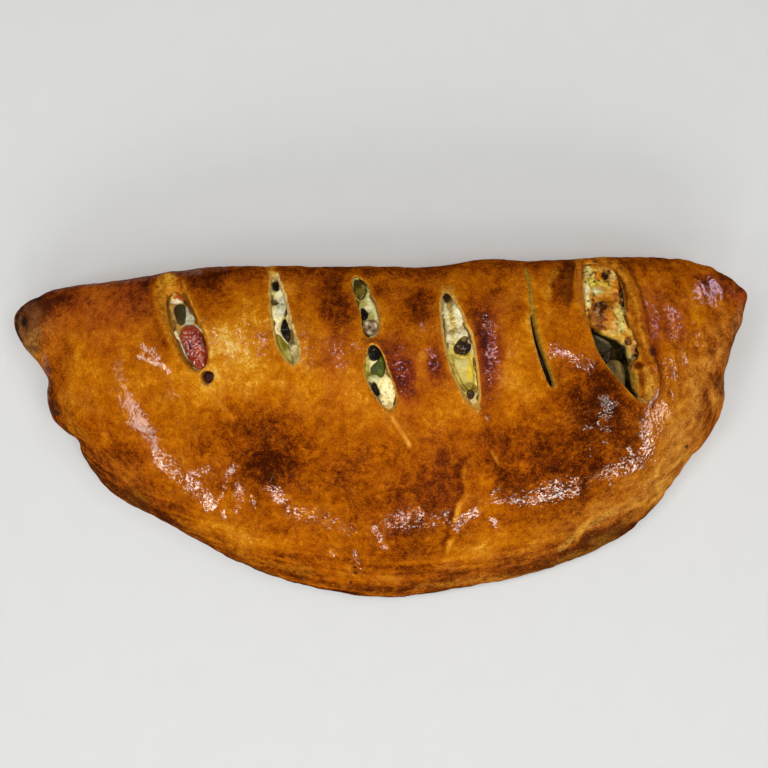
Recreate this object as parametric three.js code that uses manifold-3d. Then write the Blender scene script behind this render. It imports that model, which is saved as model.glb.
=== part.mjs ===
// A baked calzone: a round of dough folded over its filling into a half moon.
// The fold runs along the back (+Y), the sealed and tucked edge along the
// curved front (-Y). Seven slits in the top have opened over the cheese,
// and pieces of sausage, pepper, olive, onion and mushroom show in them.
// Millimetres, +Z up, origin at the middle of the bottom.
import * as THREE from "three";
import { mergeVertices } from "three/addons/utils/BufferGeometryUtils.js";
import Module from "manifold-3d";

const wasm = await Module();
wasm.setup();

const DEG = Math.PI / 180;

// ---------------------------------------------------------------- sizes

// Plan outline, as a radius over a bearing round (OUTLINE_X, OUTLINE_Y). Bearing 0
// is the right end, 90 the fold, 180 the left end and -90 the front. The
// plan is squeezed in Y by SQUEEZE after the radius is worked out.
const SQUEEZE = 2.1;
const OUTLINE_X = 1.2;
const OUTLINE_Y = 10;
const HALF_LENGTH = 163.94; // reach of the plain half moon to either end
const REACH_FOLD = 139.19; // towards the fold, before the squeeze
const REACH_FRONT = 191.0; // towards the sealed edge, before the squeeze
const SQUARE_FOLD = 3.2; // superellipse exponents: the fold side is squarer
const SQUARE_FRONT = 1.7;
// Where the hand-folded dough swells out or pulls in: bearing, spread, reach.
const EDGE_SWELLS = [
  [-168.1, 3.0, -4.0], // step under the tucked left flap
  [-147.8, 9.9, 8.0],
  [-146.6, 24.1, -19.9], // straight run down from the left end
  [-52.5, 13.0, 6.6],
  [-17.0, 11.0, -6.4],
  [35.9, 8.5, 22.0], // square right shoulder
  [49.1, 9.4, 22.0],
  [71.8, 3.8, 8.3],
  [75.8, 13.4, -5.9], // shallow waist in the fold
  [118.7, 5.5, 3.1],
  [148.8, 8.7, 21.3], // left shoulder
  [167.3, 4.6, -5.4],
  [-145, 9, 3.2],
  [13, 7, -3.2],
  [33, 9, -2],
  [66, 4.5, 4.8],
  [79, 4, 1.8],
  [84, 10, 2.5],
];

// Cross-section: every ray runs from a point of the spine to the outline.
const SPINE_HALF = 100; // half length of the spine
const SPINE_Y = 2;
const CROWN = 50; // height of the crown near the middle
const CROWN_X = 19.2; // the crown is highest a little right of the middle
const CROWN_FALL = 7; // and this much lower CROWN_RUN away from there
const CROWN_RUN = 118;
const BOLSTER = 2.2; // extra height of the roll behind the middle
const BOLSTER_Y = 30;
const RIM_HEIGHT = 7; // height of the widest line along the front
const FOLD_RISE = 18; // and how much higher it is along the fold
const UNDERCUT_FRONT = 7; // how far the underside is drawn in
const UNDERCUT_FOLD = 18;
// The tucked flap at the left end lies lower than the dough behind it.
const FLAP = { x: -154, y: 30, sink: 0.5, step: 4 };

// Hollows and humps of the top: x, y, spread along, spread across, turn, height.
const RELIEF = [
  [-46.8, -8, 13, 7, 0, -3.2], // sunken dimple left of the middle
  [-29.8, -19, 8, 6, 0, 1.2],
  [-64.8, -8, 12, 8, 0, 1.4],
  [25.2, -36, 3.5, 24, -6, 1.5], // raised edge where the dough overlaps itself
  [15.7, -34, 2.5, 22, -6, -1.3], // and the groove beside it
  [-84.8, 2, 26, 5, -38, 1.0], // ridge down the left side
  [123.2, 44, 10, 20, 10, 1.6], // puffed dough right of the widest slit
  [85.2, 44, 6, 22, 8, 1.2],
  [59.2, 34, 8, 26, 6, 1.2], // humps between the slits
  [19.2, 40, 9, 24, 6, 1.1],
  [-22.8, 42, 9, 24, 6, 1.2],
  [-60.8, 44, 8, 22, 14, 1.2],
  [-110.8, 44, 9, 16, 20, 1.2],
  [-138.8, 40, 5, 16, 12, -1.6], // fold where the left flap is tucked in
];

// Dough
const CRUST = 5.6; // thickness of the top
const SEAL_FRONT = 15; // width of the solid dough of the sealed edge
const WALL_FOLD = 6.5; // wall at the fold
const FLOOR = 5; // thickness of the bottom
const GAP = 0.35; // clearance between pieces that touch

// Slits: back end x, y, front end x, y, bow, second bow, half width,
// where they are widest (below 1 nearer the back) and how full their ends are.
const SLITS = [
  { at: [-92.4, 65.6, -74, 27.0], bow: [1.0, 0.35], half: 5.5, wide: 1.6, full: 0.36 },
  { at: [-45.8, 70.9, -34.4, 29.0], bow: [-0.65, 0.25], half: 4.9, wide: 1.46, full: 0.35 },
  { at: [-7.9, 72.1, -0.9, 41.0], bow: [0.2, -0.5], half: 3.9, wide: 1.02, full: 0.35 },
  { at: [-0.2, 39.1, 6.1, 10.9], bow: [-1.5, -0.5], half: 5.1, wide: 1.06, full: 0.35 },
  { at: [29.2, 64.6, 43.4, 11.5], bow: [-0.4, 0.5], half: 5.6, wide: 0.87, full: 0.65 },
  { at: [66.1, 74.0, 76.1, 17.3], bow: [-0.85, 0.7], half: 1.9, wide: 0.97, full: 0.45 },
  { at: [96.4, 77.2, 113.4, 15.9], bow: [-3.25, 0.5], half: 9.2, wide: 0.7, full: 0.55 },
];
const SLIT_DEPTH = 11.5; // cut through the top
const SLIT_DEPTH_AT_FOLD = 4.5; // but shallow where it runs out on the fold
// How far below the top the cheese stands in each slit, and over which part
// of the slit's length.
const CHEESE_BELOW = [3.4, 2.6, 3.2, 3.0, 2.8, 6.0, 1.6];
const CHEESE_SPAN = [
  [0.08, 0.97], [0.04, 0.97], [0.04, 0.96], [0.04, 0.97], [0.05, 0.96], [0.1, 0.93], [0.03, 0.55],
];
const STEAM_HOLE = { x: -72.3, y: 25.2, r: 2.7, deep: 9 };
// Open space under the front half of the widest slit.
const POCKET = { x: 104.7, y: 30, z: 40.5, rx: 8.5, ry: 15, rz: 8.5, turn: 20 };

// Pieces in the filling: kind, x, y, height of the middle below the top,
// half sizes, turn about Z, tilt.
const PIECES = [
  { name: "sausage_1", kind: "sausage", x: -78.7, y: 37.6, below: 6.4, half: [5.0, 10.6, 4.6], turn: 24, tilt: 6 },
  { name: "pepper_1", kind: "strip", x: -86.9, y: 53.4, below: 5.6, half: [3.2, 6.0, 2.4], turn: 20, tilt: 18 },
  { name: "olive_2", kind: "olive", x: -38.8, y: 45.6, below: 4.6, half: [2.4, 6.2, 2.2], turn: 18, tilt: 4 },
  { name: "pepper_2", kind: "strip", x: -40.2, y: 35.8, below: 5.0, half: [3.0, 8.8, 2.4], turn: 24, tilt: 0 },
  { name: "onion_2", kind: "strip", x: -34.2, y: 34.6, below: 4.2, half: [1.9, 4.4, 1.8], turn: 8, tilt: 0 },
  { name: "pepper_3", kind: "strip", x: -7.4, y: 64.4, below: 5.0, half: [3.2, 5.4, 2.4], turn: 12, tilt: 24 },
  { name: "olive_3", kind: "olive", x: -5.1, y: 52.9, below: 4.9, half: [2.2, 3.8, 2.2], turn: 6, tilt: 10 },
  { name: "crumb_3", kind: "sausage", x: -2.1, y: 46.2, below: 4.8, half: [3.1, 4.4, 2.6], turn: 12, tilt: 4 },
  { name: "olive_4", kind: "olive", x: -0.3, y: 35.2, below: 4.6, half: [3.1, 3.3, 2.5], turn: 0, tilt: 4 },
  { name: "pepper_4", kind: "strip", x: 0.7, y: 27.6, below: 5.2, half: [4.2, 5.2, 2.8], turn: -30, tilt: 0 },
  { name: "olive_5", kind: "olive", x: 37.4, y: 38.6, below: 4.4, half: [4.2, 3.9, 3.0], turn: 24, tilt: 4 },
  { name: "pepper_5", kind: "strip", x: 37.6, y: 27.0, below: 5.2, half: [4.6, 9.0, 3.2], turn: 14, tilt: 0 },
  { name: "onion_7", kind: "strip", x: 101.8, y: 38.0, below: 12.4, half: [7.0, 4.0, 2.0], turn: 8, tilt: -16 },
  { name: "mushroom_7", kind: "strip", x: 105.6, y: 27.4, below: 12.0, half: [4.6, 7.4, 2.4], turn: 26, tilt: -6 },
];

// Mesh fineness
const AROUND = 60; // steps round the outline
const RINGS_TOP = 10;
const RINGS_UNDER = 3;
const AROUND_IN = 38;
const RINGS_IN = 6;

// --------------------------------------------------------------- surface

const wrap = (a) => Math.atan2(Math.sin(a), Math.cos(a));
const clamp = (t) => Math.min(1, Math.max(0, t));
const smooth = (t) => clamp(t) ** 2 * (3 - 2 * clamp(t));
const bell = (d, w) => Math.exp(-0.5 * (d / w) ** 2);

function outline(phi) {
  const c = Math.abs(Math.cos(phi)),
    s = Math.abs(Math.sin(phi));
  const fold = 1 / (1 + Math.exp(-Math.sin(phi) / 0.12));
  const reach = REACH_FRONT + (REACH_FOLD - REACH_FRONT) * fold;
  const n = SQUARE_FRONT + (SQUARE_FOLD - SQUARE_FRONT) * fold;
  let r = ((c / HALF_LENGTH) ** n + (s / reach) ** n) ** (-1 / n);
  for (const [a, w, h] of EDGE_SWELLS)
    r += h * bell(wrap(phi - a * DEG), w * DEG);
  return [OUTLINE_X + r * Math.cos(phi), OUTLINE_Y + (r * Math.sin(phi)) / SQUEEZE];
}
const spine = (phi) => [OUTLINE_X + SPINE_HALF * Math.cos(phi), SPINE_Y];

const atLeftEnd = (phi) => bell(wrap(phi - 165 * DEG), 24 * DEG);
const atRightEnd = (phi) => bell(wrap(phi - 10 * DEG), 28 * DEG);
const foldShare = (phi) => smooth((Math.sin(phi) + 0.7) / 1.4);

// Height of the widest line
function widest(phi) {
  const b = smooth((Math.sin(phi) + 0.35) / 1.05);
  return (RIM_HEIGHT + FOLD_RISE * b) * (1 - 0.3 * atLeftEnd(phi)) + 2 * atRightEnd(phi);
}

function crown(x, y) {
  return (
    CROWN -
    CROWN_FALL * ((x - CROWN_X) / CROWN_RUN) ** 2 +
    BOLSTER * bell(y - BOLSTER_Y, 24) * Math.exp(-0.5 * ((x - 11) / 110) ** 4)
  );
}

function relief(x, y) {
  let h = 0;
  for (const [cx, cy, a, b, turn, up] of RELIEF) {
    const c = Math.cos(turn * DEG),
      s = Math.sin(turn * DEG);
    const u = ((x - cx) * c + (y - cy) * s) / a,
      v = (-(x - cx) * s + (y - cy) * c) / b;
    h += up * Math.exp(-0.5 * (u * u + v * v));
  }
  return h;
}

// Point of the plan on the ray at bearing phi, s from 0 on the spine to 1
function planPoint(phi, s, inset = 0) {
  const [ox, oy] = outline(phi),
    [mx, my] = spine(phi);
  const k = 1 - inset / Math.hypot(ox - mx, oy - my);
  return [mx + s * k * (ox - mx), my + s * k * (oy - my)];
}

// Height of a domed top over the ray, lower by `down`, from the widest height
function topHeight(phi, s, x, y, down, wide) {
  const f = foldShare(phi);
  const p = 1.6 + 1.5 * f,
    q = 1.35 + 0.85 * f;
  const g = clamp(1 - clamp(s) ** p) ** (1 / q);
  const flap =
    smooth((FLAP.x - x) / FLAP.step + 0.5) * smooth((y - FLAP.y) / 8 + 0.5);
  return wide + (crown(x, y) + relief(x, y) - down - wide) * g * (1 - FLAP.sink * flap);
}

// Bearing and s of a plan point, by a search over the rays
const RAYS = Array.from({ length: 1441 }, (_, i) => {
  const phi = (-180 + i * 0.25) * DEG,
    [ox, oy] = outline(phi),
    [mx, my] = spine(phi);
  return [phi, mx, my, ox - mx, oy - my];
});
function rayOf(x, y) {
  let best = [0, 9],
    last = null;
  for (const [phi, mx, my, dx, dy] of RAYS) {
    const cross = (x - mx) * dy - (y - my) * dx;
    const s = ((x - mx) * dx + (y - my) * dy) / (dx * dx + dy * dy);
    if (last && cross * last[0] <= 0 && s > -1e-6 && s < best[1]) best = [phi, s];
    last = [cross];
  }
  return best;
}
function topAt(x, y) {
  const [phi, s] = rayOf(x, y);
  return { z: topHeight(phi, s, x, y, 0, widest(phi)), s };
}

// ---------------------------------------------------------------- solids

// A closed mesh from triangles of points, with shared vertices merged and
// its faces turned outwards
function solidFrom(triangles) {
  const solid = meshSolid(triangles);
  return solid.volume() < 0
    ? meshSolid(triangles.map(([a, b, c]) => [a, c, b]))
    : solid;
}
function meshSolid(triangles) {
  const g = new THREE.BufferGeometry().setAttribute(
    "position",
    new THREE.BufferAttribute(new Float32Array(triangles.flat(2)), 3),
  );
  const m = mergeVertices(g, 1e-3);
  const index = [];
  for (let i = 0; i < m.index.count; i += 3) {
    const [a, b, c] = [m.index.array[i], m.index.array[i + 1], m.index.array[i + 2]];
    if (a !== b && b !== c && a !== c) index.push(a, b, c);
  }
  return new wasm.Manifold(
    new wasm.Mesh({
      numProp: 3,
      vertProperties: m.attributes.position.array,
      triVerts: new Uint32Array(index),
    }),
  );
}

// Joins rings of points, each as long as the next; a ring of one point caps.
function loft(rings, closed = []) {
  const tris = [...closed];
  for (let j = 0; j + 1 < rings.length; j++) {
    const a = rings[j],
      b = rings[j + 1],
      n = Math.max(a.length, b.length);
    for (let i = 0; i < n; i++) {
      const k = (i + 1) % n;
      const a0 = a[i % a.length],
        a1 = a[k % a.length],
        b0 = b[i % b.length],
        b1 = b[k % b.length];
      if (a.length > 1) tris.push([a0, a1, b0]);
      if (b.length > 1) tris.push([a1, b1, b0]);
    }
  }
  return tris;
}

// The half moon body. inset, down and floor shrink it to the hollow inside.
function halfMoon({ around, rings, under, inset, down, floor, lift, undercut }) {
  const bearings = Array.from({ length: around }, (_, i) => (i / around) * 2 * Math.PI);
  const list = [];
  // top, from the spine outwards: rings close up towards the widest line
  for (let j = 0; j <= rings; j++) {
    const s = Math.sin((j / rings) * 0.5 * Math.PI) ** 1.15;
    list.push(
      bearings.map((phi) => {
        const [x, y] = planPoint(phi, s, inset(phi));
        return [x, y, topHeight(phi, s, x, y, down, widest(phi) + lift)];
      }),
    );
  }
  // underside, from the widest line in to the flat bottom
  for (let j = 1; j <= under; j++) {
    const a = (j / under) * 0.5 * Math.PI;
    list.push(
      bearings.map((phi) => {
        const [ox, oy] = outline(phi),
          [mx, my] = spine(phi);
        const reach = Math.hypot(ox - mx, oy - my) - inset(phi);
        const s = 1 - (undercut(phi) / reach) * (1 - Math.cos(a));
        const [x, y] = planPoint(phi, s, inset(phi));
        const w = widest(phi) + lift;
        return [x, y, floor + (w - floor) * (1 - Math.sin(a))];
      }),
    );
  }
  list.push(bearings.map((phi) => [...spine(phi), floor]));
  return solidFrom(loft(list));
}

// Outline of a slit at a fraction t of its length, and its width there
function slitAt(slit, t, slim = 0) {
  const [x0, y0, x1, y1] = slit.at;
  const length = Math.hypot(x1 - x0, y1 - y0),
    ux = (x1 - x0) / length,
    uy = (y1 - y0) / length;
  const bow =
    slit.bow[0] * Math.sin(Math.PI * t) + slit.bow[1] * Math.sin(2 * Math.PI * t);
  const half = Math.max(
    0,
    slit.half * Math.max(0, Math.sin(Math.PI * t ** slit.wide)) ** slit.full - slim,
  );
  return {
    x: x0 + (x1 - x0) * t - uy * bow,
    y: y0 + (y1 - y0) * t + ux * bow,
    half,
    nx: -uy,
    ny: ux,
  };
}
const slitDepth = (s) =>
  SLIT_DEPTH + (SLIT_DEPTH_AT_FOLD - SLIT_DEPTH) * smooth((s - 0.84) / 0.12);

// Upright plug over the part t0..t1 of a slit, between two depths
function slitPlug(slit, { t0, t1, steps, slim, from, to }) {
  const rows = [];
  for (let i = 0; i <= steps; i++) {
    // closer together towards the ends, where the slit rounds off
    const t = t0 + (t1 - t0) * 0.5 * (1 - Math.cos((Math.PI * i) / steps));
    const c = slitAt(slit, t, slim);
    const half = Math.max(c.half, 0.12);
    const { z, s } = topAt(c.x, c.y);
    const row = [-1, 0, 1].map((k) => [c.x + k * half * c.nx, c.y + k * half * c.ny]);
    rows.push({
      low: row.map(([x, y]) => [x, y, z + from(s, t)]),
      high: row.map(([x, y]) => [x, y, z + to(s, t)]),
    });
  }
  // walk round: left side of high, over the middle, right side, and back low
  const sections = rows.map(({ low, high }) => [...high, ...low.slice().reverse()]);
  const cap = (p, flip) => {
    const f = [];
    for (let i = 1; i + 1 < p.length; i++)
      f.push(flip ? [p[0], p[i + 1], p[i]] : [p[0], p[i], p[i + 1]]);
    return f;
  };
  const tris = loft(sections, [...cap(sections[0], true), ...cap(sections.at(-1), false)]);
  return solidFrom(tris);
}

// A rounded lump: half sizes, squareness and knobs on its surface
function lump(half, { grow = 0, square = 2, knobs = 0, bend = 0, turn, tilt, at, nu = 10, nv = 7 }) {
  const point = (i, j) => {
    const u = (i / nu) * 2 * Math.PI,
      v = (j / nv) * Math.PI;
    const d = [Math.sin(v) * Math.cos(u), Math.sin(v) * Math.sin(u), Math.cos(v)];
    const k = d.reduce((sum, c) => sum + Math.abs(c) ** square, 0) ** (-1 / square);
    const bump = 1 + knobs * Math.sin(5 * u + 2 * v) * Math.sin(4 * v) * Math.sin(v);
    let [x, y, z] = d.map((c, n) => c * k * bump * (half[n] + grow));
    z += bend * (1 - (y / half[1]) ** 2) - bend * 0.5;
    const ct = Math.cos(tilt * DEG),
      st = Math.sin(tilt * DEG);
    [y, z] = [y * ct + z * st, z * ct - y * st];
    const cr = Math.cos(turn * DEG),
      sr = Math.sin(turn * DEG);
    return [at[0] + x * cr - y * sr, at[1] + x * sr + y * cr, at[2] + z];
  };
  const rings = [[point(0, 0)]];
  for (let j = 1; j < nv; j++)
    rings.push(Array.from({ length: nu }, (_, i) => point(i, j)));
  rings.push([point(0, nv)]);
  const tris = loft(rings);
  return solidFrom(tris);
}
const KINDS = {
  sausage: { square: 2.2, knobs: 0.07, bend: 0 },
  olive: { square: 2.3, knobs: 0, bend: 0.6 },
  strip: { square: 3.2, knobs: 0, bend: 0.9 },
};

const biggest = (solid) =>
  solid.decompose().reduce((a, b) => (b.volume() > a.volume() ? b : a));

// ----------------------------------------------------------------- build

const insetFor = (extra) => (phi) =>
  SEAL_FRONT + (WALL_FOLD - SEAL_FRONT) * foldShare(phi) + 5 * atLeftEnd(phi) + extra;

const body = halfMoon({
  around: AROUND,
  rings: RINGS_TOP,
  under: RINGS_UNDER,
  inset: () => 0,
  down: 0,
  floor: 0,
  lift: 0,
  undercut: (phi) => UNDERCUT_FRONT + (UNDERCUT_FOLD - UNDERCUT_FRONT) * foldShare(phi),
});
const hollow = (extra) =>
  halfMoon({
    around: AROUND_IN,
    rings: RINGS_IN,
    under: 3,
    inset: insetFor(extra),
    down: CRUST + extra,
    floor: FLOOR + extra,
    lift: 1,
    undercut: (phi) => 3 + 6 * foldShare(phi),
  });

let crust = body.subtract(hollow(0));
let filling = hollow(GAP);
const inside = [hollow(GAP)];
SLITS.forEach((slit, i) => {
  crust = crust.subtract(
    slitPlug(slit, {
      t0: 0,
      t1: 1,
      steps: 8,
      slim: 0,
      from: (s) => -slitDepth(s),
      to: () => 6,
    }),
  );
  const [t0, t1] = CHEESE_SPAN[i];
  const plug = (slim, to) =>
    slitPlug(slit, {
      t0,
      t1,
      steps: 5,
      slim,
      from: (s) => 0.6 - slitDepth(s),
      to,
    });
  filling = filling.add(
    plug(0.7, (s) => Math.max(-CHEESE_BELOW[i], 1.2 - slitDepth(s))),
  );
  inside.push(plug(0.7, () => 2));
});

// Round hole where steam came out beside the first slit
{
  const { x, y, r, deep } = STEAM_HOLE;
  const { z } = topAt(x, y);
  const ring = (h) =>
    Array.from({ length: 14 }, (_, i) => [
      x + r * Math.cos((i / 7) * Math.PI),
      y + r * Math.sin((i / 7) * Math.PI),
      h,
    ]);
  crust = crust.subtract(
    solidFrom(loft([[[x, y, z - deep]], ring(z - deep), ring(z + 5), [[x, y, z + 5]]])),
  );
}

// The cheese has sunk away under the front half of the widest slit
filling = filling.subtract(
  lump([POCKET.rx, POCKET.ry, POCKET.rz], {
    turn: POCKET.turn,
    tilt: 0,
    at: [POCKET.x, POCKET.y, POCKET.z],
    nu: 18,
    nv: 10,
  }),
);

const room = inside.reduce((a, b) => a.add(b));
const pieces = [];
for (const p of PIECES) {
  const at = [p.x, p.y, topAt(p.x, p.y).z - p.below];
  const make = (grow) => lump(p.half, { ...KINDS[p.kind], grow, turn: p.turn, tilt: p.tilt, at });
  pieces.push([p, biggest(make(0).intersect(room))]);
  filling = filling.subtract(make(GAP));
}
// pieces that touch each other keep their clearance too
for (let i = 0; i < pieces.length; i++)
  for (let j = 0; j < i; j++) {
    const p = PIECES[j];
    const at = [p.x, p.y, topAt(p.x, p.y).z - p.below];
    const other = lump(p.half, { ...KINDS[p.kind], grow: GAP, turn: p.turn, tilt: p.tilt, at });
    pieces[i][1] = biggest(pieces[i][1].subtract(other));
  }

// ----------------------------------------------------------------- scene

const FINISH = {
  crust: { color: 0xb0640f, roughness: 0.32, metalness: 0 },
  filling: { color: 0xe6d68c, roughness: 0.42, metalness: 0 },
  sausage: { color: 0x8c1f14, roughness: 0.35, metalness: 0 },
  crumb: { color: 0x8d7a58, roughness: 0.5, metalness: 0 },
  olive: { color: 0x1d1a14, roughness: 0.25, metalness: 0 },
  pepper: { color: 0x7d8c20, roughness: 0.28, metalness: 0 },
  onion: { color: 0xcfc48e, roughness: 0.3, metalness: 0 },
  mushroom: { color: 0x6a5a30, roughness: 0.4, metalness: 0 },
};

const calzone = new THREE.Group();
calzone.name = "calzone";
function addNode(name, solid) {
  const { vertProperties, triVerts, numProp } = solid.getMesh();
  const g = new THREE.BufferGeometry();
  const v = new Float32Array((vertProperties.length / numProp) * 3);
  for (let i = 0; i < v.length / 3; i++)
    v.set(vertProperties.subarray(i * numProp, i * numProp + 3), i * 3);
  g.setAttribute("position", new THREE.BufferAttribute(v, 3));
  g.setIndex(new THREE.BufferAttribute(triVerts, 1));
  g.computeVertexNormals();
  const mesh = new THREE.Mesh(
    g,
    new THREE.MeshStandardMaterial(FINISH[name.split("_")[0]]),
  );
  mesh.name = name;
  calzone.add(mesh);
}
addNode("crust", biggest(crust));
addNode("filling", biggest(filling));
for (const [p, solid] of pieces) addNode(p.name, solid);

export default calzone;
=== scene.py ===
"""The looks of a baked calzone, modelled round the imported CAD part.

The CAD part gives the half moon, its slits and the pieces in them. Here the
dough gets its skin, torn lips and browning, the cheese its bubbles and toasted
spots, and each piece of filling its own shape. All lengths are millimetres
until a mesh is made.
"""
import math
import bpy
import numpy as np
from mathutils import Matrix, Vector
from mathutils.geometry import delaunay_2d_cdt


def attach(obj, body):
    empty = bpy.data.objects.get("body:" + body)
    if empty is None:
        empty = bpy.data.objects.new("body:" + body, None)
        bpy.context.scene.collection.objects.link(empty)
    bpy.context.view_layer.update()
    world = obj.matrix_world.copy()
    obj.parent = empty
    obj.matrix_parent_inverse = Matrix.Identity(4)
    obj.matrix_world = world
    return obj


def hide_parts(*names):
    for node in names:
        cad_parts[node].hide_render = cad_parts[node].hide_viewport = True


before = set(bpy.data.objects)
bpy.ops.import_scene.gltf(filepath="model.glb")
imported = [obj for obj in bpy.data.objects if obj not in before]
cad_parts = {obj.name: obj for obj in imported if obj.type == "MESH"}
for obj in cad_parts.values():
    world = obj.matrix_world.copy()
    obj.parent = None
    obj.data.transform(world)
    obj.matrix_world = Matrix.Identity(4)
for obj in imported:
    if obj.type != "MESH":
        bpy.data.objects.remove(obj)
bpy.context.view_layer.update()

DEG = math.pi / 180
PI = math.pi

# ------------------------------------------------------------------ sizes
# The same sizes as the CAD part.

SQUEEZE, OUTLINE_X, OUTLINE_Y = 2.1, 1.2, 10.0
HALF_LENGTH, REACH_FOLD, REACH_FRONT = 163.94, 139.19, 191.0
SQUARE_FOLD, SQUARE_FRONT = 3.2, 1.7
EDGE_SWELLS = [
    (-168.1, 3.0, -4.0), (-147.8, 9.9, 8.0), (-146.6, 24.1, -19.9), (-52.5, 13.0, 6.6),
    (-17.0, 11.0, -6.4), (35.9, 8.5, 22.0), (49.1, 9.4, 22.0), (71.8, 3.8, 8.3),
    (75.8, 13.4, -5.9), (118.7, 5.5, 3.1), (148.8, 8.7, 21.3), (167.3, 4.6, -5.4),
    (-145.0, 9.0, 3.2), (13.0, 7.0, -3.2), (33.0, 9.0, -2.0), (66.0, 4.5, 4.8), (79.0, 4.0, 1.8), (84.0, 10.0, 2.5),
]
SPINE_HALF, SPINE_Y = 100.0, 2.0
CROWN, CROWN_X, CROWN_FALL, CROWN_RUN = 50.0, 19.2, 7.0, 118.0
BOLSTER, BOLSTER_Y = 2.2, 30.0
RIM_HEIGHT, FOLD_RISE = 7.0, 18.0
UNDERCUT_FRONT, UNDERCUT_FOLD = 7.0, 18.0
FLAP_X, FLAP_Y, FLAP_SINK, FLAP_STEP = -154.0, 30.0, 0.5, 4.0
RELIEF = [
    (-46.8, -8, 13, 7, 0, -3.2), (-29.8, -19, 8, 6, 0, 1.2), (-64.8, -8, 12, 8, 0, 1.4),
    (25.2, -36, 3.5, 24, -6, 1.5), (15.7, -34, 2.5, 22, -6, -1.3), (-84.8, 2, 26, 5, -38, 1.0),
    (123.2, 44, 10, 20, 10, 1.6), (85.2, 44, 6, 22, 8, 1.2), (59.2, 34, 8, 26, 6, 1.2),
    (19.2, 40, 9, 24, 6, 1.1), (-22.8, 42, 9, 24, 6, 1.2), (-60.8, 44, 8, 22, 14, 1.2),
    (-110.8, 44, 9, 16, 20, 1.2), (-138.8, 40, 5, 16, 12, -1.6),
]
CRUST, SEAL_FRONT, WALL_FOLD, FLOOR = 5.6, 15.0, 3.5, 5.0

STEAM_HOLE = (-72.3, 25.2, 2.75)

# The camera looks straight down from here. Places below that are given as two
# numbers in the frame of the picture, 768 wide and high, are brought onto the
# dough with the same constants, so that they are plain positions on the part.
EYE = (3.61, 22.15, 378.0)
FOCAL = 770.0
HALF_FRAME = 384.0


# ------------------------------------------------------------------ maths

def bell(d, w):
    return np.exp(-0.5 * (d / w) ** 2)


def smooth(t):
    t = np.clip(t, 0, 1)
    return t * t * (3 - 2 * t)


def wrap(a):
    return (a + PI) % (2 * PI) - PI


_rng = np.random.default_rng(20)
_perm = _rng.permutation(256)
_perm = np.concatenate([_perm, _perm])
_grad = _rng.normal(size=(256, 3))
_grad /= np.linalg.norm(_grad, axis=1)[:, None]


def noise(p, size, seed=0):
    """Smooth noise of about -1 to 1 whose lumps are `size` mm across."""
    q = np.asarray(p, float) / size + np.array([3.1, 7.7, 1.3]) * (seed + 1)
    cell = np.floor(q).astype(np.int64)
    f = q - cell
    w = f * f * f * (f * (f * 6 - 15) + 10)
    cell &= 255
    out = np.zeros(len(q))
    for dx in (0, 1):
        for dy in (0, 1):
            for dz in (0, 1):
                h = _perm[_perm[_perm[(cell[:, 0] + dx) & 255] + ((cell[:, 1] + dy) & 255)] + ((cell[:, 2] + dz) & 255)]
                g = _grad[h]
                d = g[:, 0] * (f[:, 0] - dx) + g[:, 1] * (f[:, 1] - dy) + g[:, 2] * (f[:, 2] - dz)
                k = (w[:, 0] if dx else 1 - w[:, 0]) * (w[:, 1] if dy else 1 - w[:, 1]) * (w[:, 2] if dz else 1 - w[:, 2])
                out += k * d
    return out * 1.7


def fractal(p, size, seed=0, octaves=3, gain=0.5):
    out, a = 0, 1.0
    for i in range(octaves):
        out = out + a * noise(p, size / 2 ** i, seed + 5 * i)
        a *= gain
    return out


def outline(phi):
    c, s = np.abs(np.cos(phi)), np.abs(np.sin(phi))
    fold = 1 / (1 + np.exp(-np.sin(phi) / 0.12))
    reach = REACH_FRONT + (REACH_FOLD - REACH_FRONT) * fold
    n = SQUARE_FRONT + (SQUARE_FOLD - SQUARE_FRONT) * fold
    r = ((c / HALF_LENGTH) ** n + (s / reach) ** n) ** (-1 / n)
    for a, w, h in EDGE_SWELLS:
        r = r + h * bell(wrap(phi - a * DEG), w * DEG)
    return OUTLINE_X + r * np.cos(phi), OUTLINE_Y + r * np.sin(phi) / SQUEEZE


def at_left_end(phi):
    return bell(wrap(phi - 165 * DEG), 24 * DEG)


def at_right_end(phi):
    return bell(wrap(phi - 10 * DEG), 28 * DEG)


def fold_share(phi):
    return smooth((np.sin(phi) + 0.7) / 1.4)


def widest(phi):
    b = smooth((np.sin(phi) + 0.35) / 1.05)
    return (RIM_HEIGHT + FOLD_RISE * b) * (1 - 0.3 * at_left_end(phi)) + 2 * at_right_end(phi)


def crown(x, y):
    return (CROWN - CROWN_FALL * ((x - CROWN_X) / CROWN_RUN) ** 2
            + BOLSTER * bell(y - BOLSTER_Y, 24) * np.exp(-0.5 * ((x - 11) / 110) ** 4))


def relief(x, y):
    h = 0
    for cx, cy, a, b, turn, up in RELIEF:
        c, s = math.cos(turn * DEG), math.sin(turn * DEG)
        u = ((x - cx) * c + (y - cy) * s) / a
        v = (-(x - cx) * s + (y - cy) * c) / b
        h = h + up * np.exp(-0.5 * (u * u + v * v))
    return h


def top_height(phi, s, x, y, down, wide):
    f = fold_share(phi)
    p, q = 1.6 + 1.5 * f, 1.35 + 0.85 * f
    g = np.clip(1 - np.clip(s, 0, 1) ** p, 0, 1) ** (1 / q)
    flap = smooth((FLAP_X - x) / FLAP_STEP + 0.5) * smooth((y - FLAP_Y) / 8 + 0.5)
    return wide + (crown(x, y) + relief(x, y) - down - wide) * g * (1 - FLAP_SINK * flap)


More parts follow.
